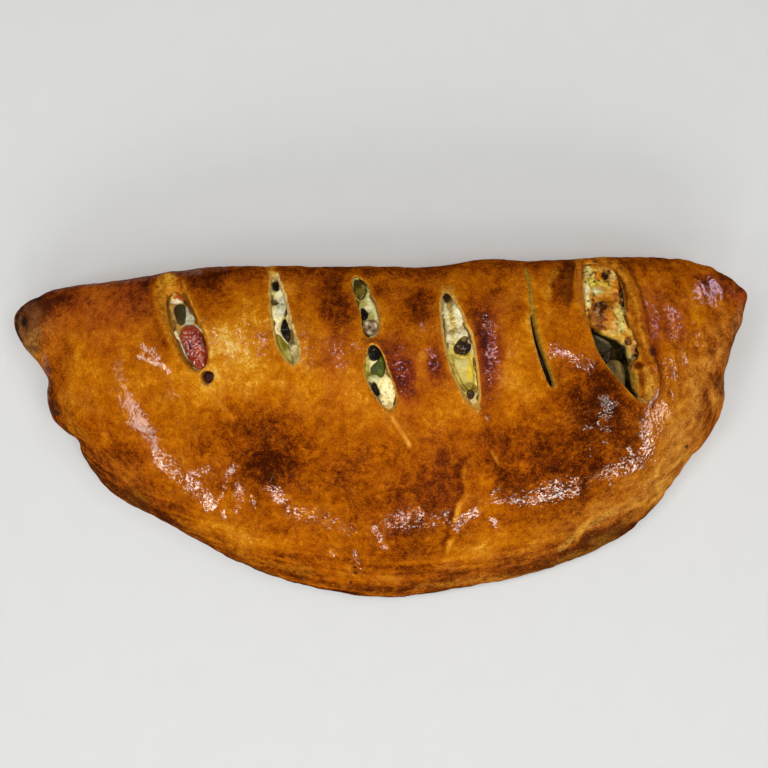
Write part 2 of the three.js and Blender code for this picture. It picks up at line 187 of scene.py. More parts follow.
# Table of the section curves: bearing by bearing, from the spine over the top
# and round the widest line to where the underside meets the table.
N_PHI, K_TOP, K_UNDER, N_F = 1440, 130, 26, 480
PHI = np.linspace(-PI, PI, N_PHI, endpoint=False)
_ox, _oy = outline(PHI)
_mx, _my = OUTLINE_X + SPINE_HALF * np.cos(PHI), np.full(N_PHI, SPINE_Y)
REACH = np.hypot(_ox - _mx, _oy - _my)
DIR = np.stack([(_ox - _mx) / REACH, (_oy - _my) / REACH], 1)
MID = np.stack([_mx, _my], 1)


def _sections():
    s = np.sin(np.linspace(0, 1, K_TOP + 1) * PI / 2) ** 1.15
    ph = PHI[:, None]
    x = MID[:, :1] + s * REACH[:, None] * DIR[:, :1]
    y = MID[:, 1:] + s * REACH[:, None] * DIR[:, 1:]
    z = top_height(ph, s[None, :], x, y, 0.0, widest(ph))
    a = np.linspace(0, 1, K_UNDER + 1)[1:] * PI / 2
    cut = (UNDERCUT_FRONT + (UNDERCUT_FOLD - UNDERCUT_FRONT) * fold_share(ph))
    su = 1 - (cut / REACH[:, None]) * (1 - np.cos(a))
    xu = MID[:, :1] + su * REACH[:, None] * DIR[:, :1]
    yu = MID[:, 1:] + su * REACH[:, None] * DIR[:, 1:]
    zu = widest(ph) * (1 - np.sin(a))
    pts = np.stack([np.hstack([x, xu]), np.hstack([y, yu]), np.hstack([z, zu])], 2)
    step = np.linalg.norm(np.diff(pts, axis=1), axis=2)
    run = np.hstack([np.zeros((N_PHI, 1)), np.cumsum(step, 1)])
    total = run[:, -1]
    f = run / total[:, None]
    even = np.linspace(0, 1, N_F + 1)
    table = np.empty((N_PHI, N_F + 1, 3))
    for i in range(N_PHI):
        for k in range(3):
            table[i, :, k] = np.interp(even, f[i], pts[i, :, k])
    return table, total, f[:, : K_TOP + 1]


TABLE, ARC, F_TOP = _sections()
F_RIM = F_TOP[:, -1]


def _cell(phi):
    q = (wrap(phi) + PI) / (2 * PI) * N_PHI
    i = np.floor(q).astype(int) % N_PHI
    return i, (i + 1) % N_PHI, q - np.floor(q)


def by_phi(table, phi):
    i, j, w = _cell(phi)
    if table.ndim > 1:
        w = w[:, None]
    return table[i] * (1 - w) + table[j] * w


def surface(phi, f):
    """Points of the smooth outer surface."""
    i, j, w = _cell(phi)
    q = np.clip(f, 0, 1) * N_F
    k = np.minimum(np.floor(q).astype(int), N_F - 1)
    v = (q - k)[:, None]
    w = w[:, None]
    a = TABLE[i, k] * (1 - v) + TABLE[i, k + 1] * v
    b = TABLE[j, k] * (1 - v) + TABLE[j, k + 1] * v
    return a * (1 - w) + b * w


def ray_of(p):
    """Bearing of the ray through each plan point and how far along it is."""
    p = np.asarray(p, float)
    skip = 2
    mid = np.vstack([MID[::skip], MID[:1]])
    dr = np.vstack([DIR[::skip], DIR[:1]])
    ph = np.append(PHI[::skip], PI)
    phi, dist = np.empty(len(p)), np.empty(len(p))
    for a in range(0, len(p), 3000):
        x, y = p[a:a + 3000, :1], p[a:a + 3000, 1:2]
        rx, ry = x - mid[:, 0], y - mid[:, 1]
        cross = rx * dr[:, 1] - ry * dr[:, 0]
        along = rx * dr[:, 0] + ry * dr[:, 1]
        turn = cross[:, :-1] * cross[:, 1:] <= 0
        mean = 0.5 * (along[:, :-1] + along[:, 1:])
        cost = np.where(turn & (mean > -0.4), mean, 1e9)
        j = np.argmin(cost, 1)
        n = np.arange(len(j))
        c0, c1 = cross[n, j], cross[n, j + 1]
        t = np.where(np.abs(c0 - c1) > 1e-12, c0 / np.where(c0 == c1, 1, c0 - c1), 0.5)
        t = np.clip(t, 0, 1)
        phi[a:a + 3000] = ph[j] + t * (ph[j + 1] - ph[j])
        dist[a:a + 3000] = np.maximum(0, along[n, j] * (1 - t) + along[n, j + 1] * t)
    return wrap(phi), dist


def plan_to_flat(p):
    """(bearing, f, flat position) of plan points on the top."""
    phi, d = ray_of(p)
    s = np.clip(d / by_phi(REACH, phi), 0, 0.9995)
    k = K_TOP * (2 / PI) * np.arcsin(s ** (1 / 1.15))
    i, j, w = _cell(phi)
    k0 = np.minimum(np.floor(k).astype(int), K_TOP - 1)
    v = k - k0
    f = ((F_TOP[i, k0] * (1 - v) + F_TOP[i, k0 + 1] * v) * (1 - w)
         + (F_TOP[j, k0] * (1 - v) + F_TOP[j, k0 + 1] * v) * w)
    return phi, f, flat(phi, f)


def flat(phi, f):
    """The skin rolled out flat: rays keep their plan direction, lengths are true."""
    return by_phi(MID, phi) + (f * by_phi(ARC, phi))[:, None] * by_phi(DIR, phi)


def top_at(p):
    p = np.atleast_2d(np.asarray(p, float))
    phi, d = ray_of(p[:, :2])
    s = np.clip(d / by_phi(REACH, phi), 0, 0.9999)
    return top_height(phi, s, p[:, 0], p[:, 1], 0.0, widest(phi)), s, phi


def inset_of(phi):
    return SEAL_FRONT + (WALL_FOLD - SEAL_FRONT) * fold_share(phi) + 5 * at_left_end(phi)


def hollow_top(p, extra=0.0):
    """Height of the roof of the hollow, and s in the hollow."""
    phi, d = ray_of(p)
    s = d / (by_phi(REACH, phi) - inset_of(phi) - extra)
    z = top_height(phi, np.clip(s, 0, 1), p[:, 0], p[:, 1], CRUST + extra, widest(phi) + 1)
    return z, s


def drawn_in(ring):
    """The foot of the hollow's wall: further in than its top along the fold, which is tucked under there."""
    phi, d = ray_of(ring)
    return by_phi(MID, phi) + (d - 8.0 * fold_share(phi))[:, None] * by_phi(DIR, phi)


def picture(p):
    k = FOCAL / (EYE[2] - p[:, 2])
    return np.stack([HALF_FRAME + (p[:, 0] - EYE[0]) * k, HALF_FRAME - (p[:, 1] - EYE[1]) * k], 1)


def on_top(uv):
    """Plan positions of places given in the picture frame."""
    uv = np.atleast_2d(np.asarray(uv, float))
    z = np.full(len(uv), 45.0)
    for _ in range(8):
        k = (EYE[2] - z) / FOCAL
        p = np.stack([EYE[0] + (uv[:, 0] - HALF_FRAME) * k, EYE[1] - (uv[:, 1] - HALF_FRAME) * k], 1)
        z = 0.4 * z + 0.6 * top_at(p)[0]
    return p


# ---------------------------------------------------------------- polygons

def resample(poly, step):
    """A closed polyline with even steps."""
    q = np.vstack([poly, poly[:1]])
    run = np.concatenate([[0], np.cumsum(np.linalg.norm(np.diff(q, axis=0), axis=1))])
    n = max(8, int(round(run[-1] / step)))
    t = np.arange(n) / n * run[-1]
    return np.stack([np.interp(t, run, q[:, k]) for k in range(q.shape[1])], 1)


def area2(poly):
    x, y = poly[:, 0], poly[:, 1]
    return float(np.sum(x * np.roll(y, -1) - np.roll(x, -1) * y))


def ccw(poly):
    return poly if area2(poly) > 0 else poly[::-1]


def outward(poly):
    t = np.roll(poly, -1, 0) - np.roll(poly, 1, 0)
    t /= np.maximum(np.linalg.norm(t, axis=1), 1e-9)[:, None]
    return np.stack([t[:, 1], -t[:, 0]], 1)


def inside(poly, p):
    x, y = p[:, 0], p[:, 1]
    out = np.zeros(len(p), bool)
    a, b = poly, np.roll(poly, -1, 0)
    for (x0, y0), (x1, y1) in zip(a, b):
        if y0 == y1:
            continue
        hit = ((y0 > y) != (y1 > y)) & (x < (x1 - x0) * (y - y0) / (y1 - y0) + x0)
        out ^= hit
    return out


def distance(poly, p, closed=True):
    a = poly if closed else poly[:-1]
    b = np.roll(poly, -1, 0) if closed else poly[1:]
    d = b - a
    dd = np.maximum((d * d).sum(1), 1e-12)
    out = np.empty(len(p))
    for i in range(0, len(p), 4000):
        q = p[i:i + 4000, None, :] - a[None]
        t = np.clip((q * d).sum(2) / dd, 0, 1)
        out[i:i + 4000] = np.sqrt(((q - t[..., None] * d) ** 2).sum(2).min(1))
    return out


def near(poly, p, margin):
    lo, hi = poly.min(0) - margin, poly.max(0) + margin
    return np.nonzero(((p > lo) & (p < hi)).all(1))[0]


def lattice(lo, hi, step, seed, jitter=0.16):
    """Staggered points, each shifted a little."""
    rng = np.random.default_rng(seed)
    row = step * math.sqrt(3) / 2
    ys = np.arange(lo[1], hi[1], row)
    out = []
    for k, y in enumerate(ys):
        xs = np.arange(lo[0] + (0.5 * step if k % 2 else 0), hi[0], step)
        out.append(np.stack([xs, np.full(len(xs), y)], 1))
    out = np.vstack(out)
    return out + rng.uniform(-jitter, jitter, out.shape) * step


def triangulate(pts, loops):
    """Triangles over the points that keep the edges of the loops."""
    edges = [(int(a), int(b)) for loop in loops for a, b in zip(loop, np.roll(loop, -1))]
    verts, _, faces, source, _, _ = delaunay_2d_cdt([Vector((float(x), float(y))) for x, y in pts], edges, [], 0, 1e-6, True)
    src = np.array([s[0] if s else -1 for s in source])
    tri = src[np.array([list(f) for f in faces])]
    if (tri < 0).any():
        print("triangulate: crossing loops, dropped", int((tri < 0).any(1).sum()))
        tri = tri[(tri >= 0).all(1)]
    a, b, c = pts[tri[:, 0]], pts[tri[:, 1]], pts[tri[:, 2]]
    area = (b[:, 0] - a[:, 0]) * (c[:, 1] - a[:, 1]) - (b[:, 1] - a[:, 1]) * (c[:, 0] - a[:, 0])
    tri[area < 0] = tri[area < 0][:, ::-1]
    return tri[np.abs(area) > 1e-9]


def cut_out(tri, pts, loop, keep_inside=False):
    """Drops the triangles inside a loop, or outside it."""
    member = np.zeros(len(pts), bool)
    member[loop] = True
    all_on = member[tri].all(1)
    n = np.nonzero(all_on)[0]
    mid = pts[tri[n]].mean(1)
    ins = inside(pts[loop], mid)
    bad = ~ins if keep_inside else ins
    mask = np.ones(len(tri), bool)
    mask[n[bad]] = False
    return tri[mask]


def vertex_normals(v, tri):
    n = np.cross(v[tri[:, 1]] - v[tri[:, 0]], v[tri[:, 2]] - v[tri[:, 0]])
    out = np.zeros_like(v)
    for k in range(3):
        np.add.at(out, tri[:, k], n)
    return out / np.maximum(np.linalg.norm(out, axis=1), 1e-12)[:, None]


def strip(a, b):
    """Triangles between two loops of the same length."""
    a2, b2 = np.roll(a, -1), np.roll(b, -1)
    return np.vstack([np.stack([a, b, a2], 1), np.stack([a2, b, b2], 1)])


# ------------------------------------------------------------- slit shapes

def grown(poly, width):
    w = width(poly) if callable(width) else width
    return resample(poly + outward(poly) * (w[:, None] if hasattr(w, "__len__") else w), 0.8)


# The edges of the slits where the cut dough ends, as places in the picture frame
HOLE_EDGES = [
    [(174.9, 291), (170, 293.5), (165.8, 298.3), (165.1, 306.7), (167.2, 317.8), (171.4, 330.3), (177, 342.8), (181.8, 353.9),
     (186.7, 362.2), (192.2, 369.2), (197.8, 371.9), (204.2, 367.8), (207.5, 359.4), (206.8, 348.3), (204, 337.2), (197.8, 324.7),
     (190.8, 312.2), (185.3, 302.5), (179.7, 294.2)],
    [(272.5, 277), (270.6, 284), (270.4, 296), (271.4, 311), (273.2, 323), (275.1, 333), (277.6, 345), (282.5, 353.8), (289, 361.8),
     (294.3, 364), (297.6, 359), (298, 350.5), (294.6, 337), (290.6, 326.5), (288.2, 318), (286, 305.5), (283.3, 298), (280.6, 290),
     (277.5, 281.5), (275, 277)],
    [(353, 277.5), (351.8, 284), (353.1, 291), (355.6, 300.5), (359.6, 308.5), (361.6, 319.6), (362.4, 329.3), (364.4, 335.5),
     (369, 338), (374.5, 336.6), (378.4, 332.5), (379.4, 326.5), (378.6, 316.4), (376.9, 306.9), (374.4, 300.7), (370, 295.6),
     (368.9, 287.6), (364, 281.4), (357, 276.4)],
    [(372.3, 344.2), (369.2, 346.4), (367.4, 352), (365.2, 361.5), (364.4, 371.2), (367, 380.9), (372.6, 392), (379, 401.5),
     (385.4, 408.5), (390.8, 410.2), (395.4, 405), (396.3, 395.4), (393.8, 385.9), (388.4, 373), (385.8, 363.3), (382.3, 353.7),
     (378.3, 346.6)],
    [(447.8, 292.6), (444.6, 293.6), (442.4, 297.5), (442, 304), (442.6, 317.7), (444.8, 336), (448.2, 353.4), (452.6, 369),
     (458.2, 381.8), (465, 394), (471.4, 402.2), (475.4, 405), (478.2, 401), (479.2, 394.5), (478.2, 382), (476.8, 367.7),
     (474.8, 354), (472.4, 340), (470, 331.6), (464.6, 323.8), (461.6, 312.6), (456, 304.4), (452.4, 297.6)],
    [(531.2, 316), (532.0, 324), (533.3, 331.5), (536.3, 345.5), (541.2, 362), (547.4, 380), (551.5, 387), (553.3, 385), (550.4, 375.5),
     (544.6, 360.3), (538.6, 345), (534.9, 331), (533.2, 323), (532.4, 315.6)],
    [(583.6, 262.5), (584.2, 276), (584.2, 289.7), (586.7, 309.7), (591.4, 323), (593.4, 333), (597, 348), (607, 364.5), (620.2, 379.5),
     (631, 392), (638.6, 399.2), (640, 396), (634.6, 389), (631.6, 380), (632, 370), (635.6, 362), (640.6, 357), (638.2, 344.7),
     (633.3, 331.3), (631.2, 323), (627.6, 311.3), (626, 296.3), (622, 281.3), (615.2, 270.2), (606, 264.5), (594, 261)],
]
# and their lips, where the cut meets the skin
LIP_EDGES = {
    0: [(167, 274.5), (157, 280), (154, 291), (162, 316), (171, 340), (184, 363), (194, 374.5), (205, 370.5),
        (209.8, 359), (208.6, 346), (204.6, 330), (200, 318), (191.5, 298), (181, 278)],
    1: [(271.4, 268.6), (268.9, 273), (268.2, 292.5), (269.2, 310.8), (270.8, 323), (272.6, 332.7), (275.2, 345), (280.6, 355.4),
        (288.2, 364.4), (295, 367), (300, 360.6), (300.4, 349.8), (297, 335.2), (293.4, 325.4), (290.8, 316.9), (289, 304.7),
        (286.8, 297.4), (284.2, 288.8), (280.6, 279), (276.3, 271.4)],
    4: [(448.1, 289.6), (443.2, 290.6), (439.4, 296), (438.4, 303.4), (439, 317.7), (441, 336.3), (444.3, 354), (448.8, 370),
        (454.6, 383.6), (461.8, 397), (469.4, 406.4), (477.2, 411), (481, 404.6), (482.4, 395), (481.2, 382), (479.6, 367.7),
        (477.6, 353.4), (475.4, 339.1), (473, 329.4), (467, 322), (464.4, 311.6), (458.6, 302.4), (454.4, 295)],
    5: [(526, 270), (526.8, 282), (527.8, 302), (529.2, 312), (531.4, 331.8), (534.8, 346), (539.8, 362.5), (546.4, 380.6),
        (552.4, 389.4), (555.8, 386), (551.4, 368.5), (546, 355), (541, 341.5), (537.8, 325), (536, 305), (533.2, 285), (528.8, 272.5)],
    6: [(595, 257), (580, 259), (575.4, 281), (577, 299), (582.6, 315.5), (590.4, 337), (594.6, 351), (609, 371.5), (621.5, 385.5),
        (633, 398), (642.6, 405), (652, 396), (655.6, 382), (653.4, 366), (645, 350), (641, 332), (637.6, 310), (631.6, 288),
        (624, 272), (612, 261)],
}
CHEESE_BELOW = (3.0, 2.5, 2.8, 2.7, 2.6, 6.0, 1.9)
CLING = (0.05, 0.7, 0.2, 0.35, 0.30, -1.0, 0.25)


def rounded(poly, times=2):
    for _ in range(times):  # corner cutting
        nxt = np.roll(poly, -1, 0)
        poly = np.stack([0.75 * poly + 0.25 * nxt, 0.25 * poly + 0.75 * nxt], 1).reshape(-1, 2)
    return poly


def frayed(poly, amount, seed):
    p3 = np.c_[poly, np.full(len(poly), 3.0 * seed)]
    return poly + outward(poly) * (amount * (noise(p3, 4.2, seed) + 0.7 * noise(p3, 1.6, seed + 3)))[:, None]


HOLES, LIPS = [], []
for n, edge in enumerate(HOLE_EDGES):
    hole = resample(ccw(rounded(on_top(edge))), 0.45)
    HOLES.append(frayed(hole, (0.16, 0.16, 0.22, 0.16, 0.16, 0.05, 0.20)[n], n))
    if n in LIP_EDGES:
        lip = ccw(rounded(on_top(LIP_EDGES[n])))
    else:
        lip = grown(hole, 0.9)
    LIPS.append(resample(frayed(resample(lip, 0.8), 0.12, n + 20), 0.8))
    # the hole stays inside its lip
    hole = HOLES[-1]
    d = distance(LIPS[-1], hole)
    ins = inside(LIPS[-1], hole)
    push = np.where(ins, np.maximum(0, 0.34 - d), d + 0.34)
    if push.max() > 0:
        HOLES[-1] = hole - outward(hole) * push[:, None]
_a = np.linspace(0, 2 * PI, 40, endpoint=False)
_ring = np.stack([np.cos(_a), np.sin(_a)], 1)
HOLES.append(np.array(STEAM_HOLE[:2]) + _ring * STEAM_HOLE[2] * (1 + 0.05 * np.sin(3 * _a))[:, None])
LIPS.append(resample(np.array(STEAM_HOLE[:2]) + _ring * (STEAM_HOLE[2] + 0.75), 0.8))
EDGE_DEPTH = (2.4, 1.6, 1.1, 1.2, 1.7, 2.6, 3.0, 1.0)
ROLL = (0.9, 0.35, 0.2, 0.25, 0.6, 0.3, 1.3, 0.15)
ZONE = 2.6


def lip_fields(p):
    """For plan points: how deep the lips fall, how near a lip they are, the
    share of cut dough (1 at the cheese), and which slit is nearest."""
    depth, near_lip, cut = np.zeros(len(p)), np.full(len(p), 99.0), np.zeros(len(p))
    roll, which = np.zeros(len(p)), np.full(len(p), -1)
    for n, (hole, lip) in enumerate(zip(HOLES, LIPS)):
        i = near(lip, p, 14)
        if not len(i):
            continue
        q = p[i]
        dl = distance(lip, q)
        inl = inside(lip, q)
        dh = distance(hole, q)
        inh = inside(hole, q)
        w = np.where(inl, dh / (dh + dl + 1e-9), 1.0)
        w = np.where(inh, 0.0, w)
        edge = EDGE_DEPTH[n]
        roof = hollow_top(q)[0]
        room = np.maximum(0.5, (top_at(q)[0] - roof) - 1.4)
        here = np.minimum(edge, room)
        d = here * (1 - w) ** 1.7
        better = (d > depth[i]) | ((dl < near_lip[i]) & (d >= depth[i]))
        depth[i] = np.maximum(depth[i], d)
        cut[i] = np.maximum(cut[i], 1 - w)
        roll[i] = np.maximum(roll[i], ROLL[n] * bell(np.where(inl, dl * 1.6, dl - 0.6), 1.9 if n in (0, 6) else 1.2))
        if n == 6:
            roll[i] *= 1 - 0.85 * smooth((q[:, 1] - 60) / 12)
        which[i[better]] = n
        near_lip[i] = np.minimum(near_lip[i], np.where(inl, 0, dl))
    return depth, near_lip, cut, roll, which


# -------------------------------------------------------------- paint rows

# Browning: place in the picture frame, half sizes, turn, amount. Above zero is
# darker, below zero more golden.
BROWNING = [
    (212, 292, 20, 18, 0, 0.26), (170, 343, 6, 13, -20, 0.16), (100, 305, 48, 20, 0, 0.12), (142, 302, 13, 17, 0, 0.14),
    (78, 305, 17, 13, 0, 0.08), (120, 474, 62, 15, 42, 0.26), (130, 455, 8, 8, 0, 0.10),
    (275, 442, 36, 32, 0, 0.24), (260, 463, 18, 10, -15, 0.28), (285, 466, 6, 6, 0, 0.12), (220, 448, 22, 15, 0, 0.14),
    (228, 428, 13, 7, 0, 0.12), (336, 305, 14, 19, 0, 0.34), (355, 460, 45, 38, 0, 0.08), (338, 483, 9, 12, 0, 0.12),
    (395, 505, 6, 16, 0, 0.12), (402, 376, 16, 24, -12, 0.32), (422, 305, 13, 11, 0, 0.32), (437, 362, 7, 14, -10, 0.34),
    (475, 310, 11, 11, 0, 0.24), (489, 356, 9, 32, -4, 0.32), (484, 410, 5, 16, 4, 0.22), (490, 291, 10, 8, 0, 0.14),
    (516, 315, 6, 10, 0, 0.18), (505, 275, 8, 6, 0, 0.12), (605, 397, 17, 32, 0, 0.36), (573, 430, 17, 46, 0, 0.18),
    (570, 450, 7, 12, 0, 0.16), (530, 450, 36, 30, 0, 0.26), (445, 470, 15, 30, 0, 0.20), (420, 510, 20, 28, 0, 0.12),
    (427, 565, 8, 4, 0, 0.18), (690, 275, 32, 11, 0, 0.02), (566, 283, 13, 18, 0, 0.22), (651, 352, 4.5, 6, 0, 0.32),
    (705, 420, 8, 22, -30, 0.10), (300, 505, 60, 26, 0, 0.05), (700, 330, 30, 46, 0, -0.05), (430, 330, 60, 60, 0, 0.02),
    (232, 360, 27, 38, 0, -0.26), (230, 345, 9, 8, 0, -0.12), (225, 375, 9, 8, 0, -0.10), (205, 390, 9, 8, 0, -0.12),
    (250, 315, 10, 14, 0, -0.12), (321, 335, 4, 9, 0, -0.20), (335, 372, 34, 34, 0, -0.16), (105, 385, 44, 50, 0, -0.12),
    (72, 375, 8, 24, 0, -0.12), (208, 527, 8, 8, 0, -0.20), (248, 545, 22, 9, 15, -0.20), (340, 575, 58, 11, 3, -0.12),
    (392, 582, 8, 8, 0, -0.12), (515, 375, 14, 42, 0, -0.18), (465, 405, 34, 22, 0, -0.14), (417, 400, 10, 18, 0, -0.08),
    (547, 297, 4, 14, -8, -0.30), (480, 512, 19, 44, 0, -0.08), (485, 560, 16, 15, 0, -0.12), (440, 552, 9, 7, 0, -0.20),
    (530, 540, 28, 16, 0, -0.12), (586, 527, 2.6, 14, 38, -0.30), (630, 506, 30, 11, -28, -0.16), (670, 440, 28, 40, 20, -0.16),
    (106, 442, 7, 5, 0, -0.20), (128, 480, 7, 6, 0, -0.16), (300, 530, 60, 24, 0, -0.03),
    (660, 410, 36, 60, 0, 0.12), (540, 520, 60, 26, -10, 0.17), (395, 520, 26, 34, 0, 0.15), (430, 522, 36, 26, 0, 0.07), (290, 560, 80, 14, 4, 0.12),
    (58, 375, 12, 40, 0, 0.16), (115, 430, 36, 24, 30, 0.09), (100, 290, 32, 8, -6, -0.20), (421, 360, 9, 18, 0, -0.20), (388, 411, 15, 10, 0, -0.20),
    (360, 412, 18, 13, 0, -0.14), (570, 440, 15, 18, 0, -0.14), (482, 300, 10, 15, 0, -0.13), (552, 270, 18, 7, 0, -0.14), (690, 268, 26, 7, 0, -0.16),
    (180, 376, 17, 13, 20, -0.12), (285, 374, 22, 15, 0, -0.14), (240, 450, 9, 9, 0, -0.14), (300, 508, 12, 8, 0, -0.12), (350, 320, 8, 30, 0, 0.08),
    (400, 512, 10, 9, 0, -0.14), (328, 357, 12, 15, 0, 0.08), (90, 290, 22, 7, -6, -0.07), (58, 312, 9, 9, 0, -0.10), (602, 266, 14, 5, 0, -0.10),
    (618, 525, 22, 12, -28, 0.17), (572, 552, 14, 7, -20, 0.14), (275, 520, 18, 14, 0, 0.12), (60, 408, 8, 8, 0, 0.10), (375, 290, 16, 8, 0, 0.12), (285, 320, 14, 12, 0, 0.10),
    (480, 332, 8, 10, 0, 0.11), (510, 430, 12, 9, 0, 0.12), (722, 380, 8, 16, 0, 0.10), (150, 428, 11, 9, 0, 0.12), (240, 410, 12, 9, 0, 0.10), (378, 362, 12, 14, 0, 0.11),
    (421, 372, 9, 9, 0, -0.12), (450, 290, 10, 7, 0, -0.09), (455, 530, 12, 7, 0, -0.08), (420, 572, 11, 6, 0, -0.12), (480, 450, 8, 9, 0, -0.09), (602, 268, 14, 5, 0, -0.14),
    (600, 466, 12, 8, 0, 0.14), (436, 515, 9, 9, 0, -0.10),
    (715, 405, 10, 22, -10, 0.13), (716, 335, 9, 18, 0, 0.13), (728, 322, 5, 10, 0, -0.14), (635, 500, 12, 7, -25, 0.06), (672, 290, 10, 12, 0, 0.08), (650, 482, 10, 8, 0, -0.08),
    (328, 357, 15, 15, 0, 0.17), (400, 512, 12, 9, 0, -0.14), (700, 385, 10, 12, 0, 0.05),
    (700, 275, 20, 8, 0, -0.12), (345, 588, 40, 5, 6, 0.09), (450, 584, 40, 6, -8, 0.07), (600, 548, 30, 8, -24, 0.12), (45, 297, 8, 7, 0, 0.34),
    (510, 480, 16, 13, 0, 0.13), (632, 450, 17, 22, 0, 0.19), (655, 350, 22, 36, 0, 0.06), (570, 556, 40, 10, -20, 0.14), (320, 384, 18, 10, 0, -0.08),
]
# Redder and purpler browning, partly a painted purple sheen on the dark patches near the slits and at the right end,
# and yellower dough below zero
REDNESS_AND_SHEEN = [
    (110, 305, 50, 26, 0, 0.5), (400, 374, 13, 24, -10, 0.9), (437, 360, 9, 18, 0, 0.7), (490, 352, 11, 32, 0, 0.9),
    (650, 322, 10, 26, 0, 0.7), (676, 322, 8, 12, 0, 0.7), (712, 287, 14, 10, 0, 0.8), (398, 515, 8, 16, 0, 0.3),
    (335, 360, 12, 30, 0, 0.4), (740, 297, 8, 10, 0, 0.8), (700, 360, 30, 50, 0, -0.25), (440, 470, 20, 30, 0, 0.3),
    (670, 440, 30, 46, 20, -0.8), (620, 500, 60, 16, -24, -0.7), (232, 360, 30, 40, 0, -0.3), (520, 545, 60, 14, -8, -0.5),
    (225, 540, 40, 14, 20, -0.5), (72, 380, 10, 30, 0, -0.4),
]
# Where the egg wash is thin, so that the dough stays matte
MATTE = [
    (28, 325, 17, 36, 0, 1.0), (690, 425, 20, 56, 28, 0.9), (625, 508, 60, 12, -30, 0.8), (500, 572, 90, 9, -8, 0.5),
    (130, 490, 80, 9, 42, 0.45), (715, 350, 10, 40, 10, 0.5),
]
# Where the skin is wrinkled
RUGGED = [
    (660, 400, 34, 60, 20, 1.2), (610, 400, 26, 30, 0, 0.7), (560, 495, 80, 14, -6, 0.7), (402, 376, 20, 26, 0, 0.6), (489, 350, 14, 36, 0, 0.5),
    (240, 492, 26, 26, 0, 0.6), (400, 530, 50, 18, 0, 0.6), (268, 482, 26, 16, 0, 0.4), (250, 338, 70, 28, 0, 0.9), (340, 345, 30, 22, 0, 0.7), (150, 365, 24, 22, 0, 0.5),
]
# Burnt to black
CHAR = [
    (36, 297.5, 4.5, 2.6, -28, 0.8), (24.5, 321, 2.2, 5, 8, 0.8), (57, 405, 3.2, 5, 0, 0.6), (60, 415, 3.5, 3, 0, 0.6),
    (50, 370, 3, 4, 0, 0.5), (354, 567, 1.5, 1.5, 0, 0.9), (354, 574, 1.8, 2, 0, 0.9), (351, 582, 1.6, 1.4, 0, 0.8),
    (284, 509, 1.5, 1.5, 0, 0.8), (687, 448, 1.6, 1.6, 0, 0.9), (663, 474, 1.4, 1.2, 0, 0.8), (605, 443, 2.0, 2.0, 0, 0.7),
    (651, 352, 3, 4.5, 0, 0.6), (460, 533, 1.8, 1.4, 0, 0.7), (447, 546, 1.2, 5, 0, 0.5), (528, 546, 1.2, 1.2, 0, 0.6),
]
# Bumps and hollows of the skin: place, half sizes, turn, height in mm
BUMPS = [
    (57, 405, 4, 6, 0, 0.9), (60, 416, 4, 3.5, 0, 0.7), (50, 370, 4, 5, 0, 0.6), (651, 352, 5, 6.5, 0, 0.8),
    (741, 297, 3.6, 5.5, 0, 2.2), (269, 470, 22, 9, -8, -1.0), (262, 455, 8, 5, 0, 0.5), (290, 478, 7, 5, 20, 0.5),
    (547, 297, 4, 20, -8, 0.6), (237, 492, 4, 20, 30, 0.55), (226, 488, 3, 16, 30, -0.4), (605, 443, 2.4, 2.4, 0, -0.7),
    (284, 509, 1.6, 1.6, 0, -0.4), (354, 570, 2, 4, 0, -0.5), (330, 380, 10, 22, 0, 0.5), (402, 372, 12, 20, 0, 0.5),
    (489, 352, 7, 26, 0, 0.5), (420, 420, 24, 10, -14, 0.4), (590, 420, 20, 14, 0, 0.4), (150, 360, 26, 12, 30, 0.5),
    (640, 430, 16, 18, 0, 0.5), (560, 495, 40, 8, -8, 0.5), (565, 356, 16, 8, 20, 0.4), (30, 330, 9, 14, 10, 0.5),
    (41, 318, 3.5, 24, -10, -0.6), (384, 520, 10, 18, 10, 0.5), (340, 545, 40, 7, 0, 0.35),
]
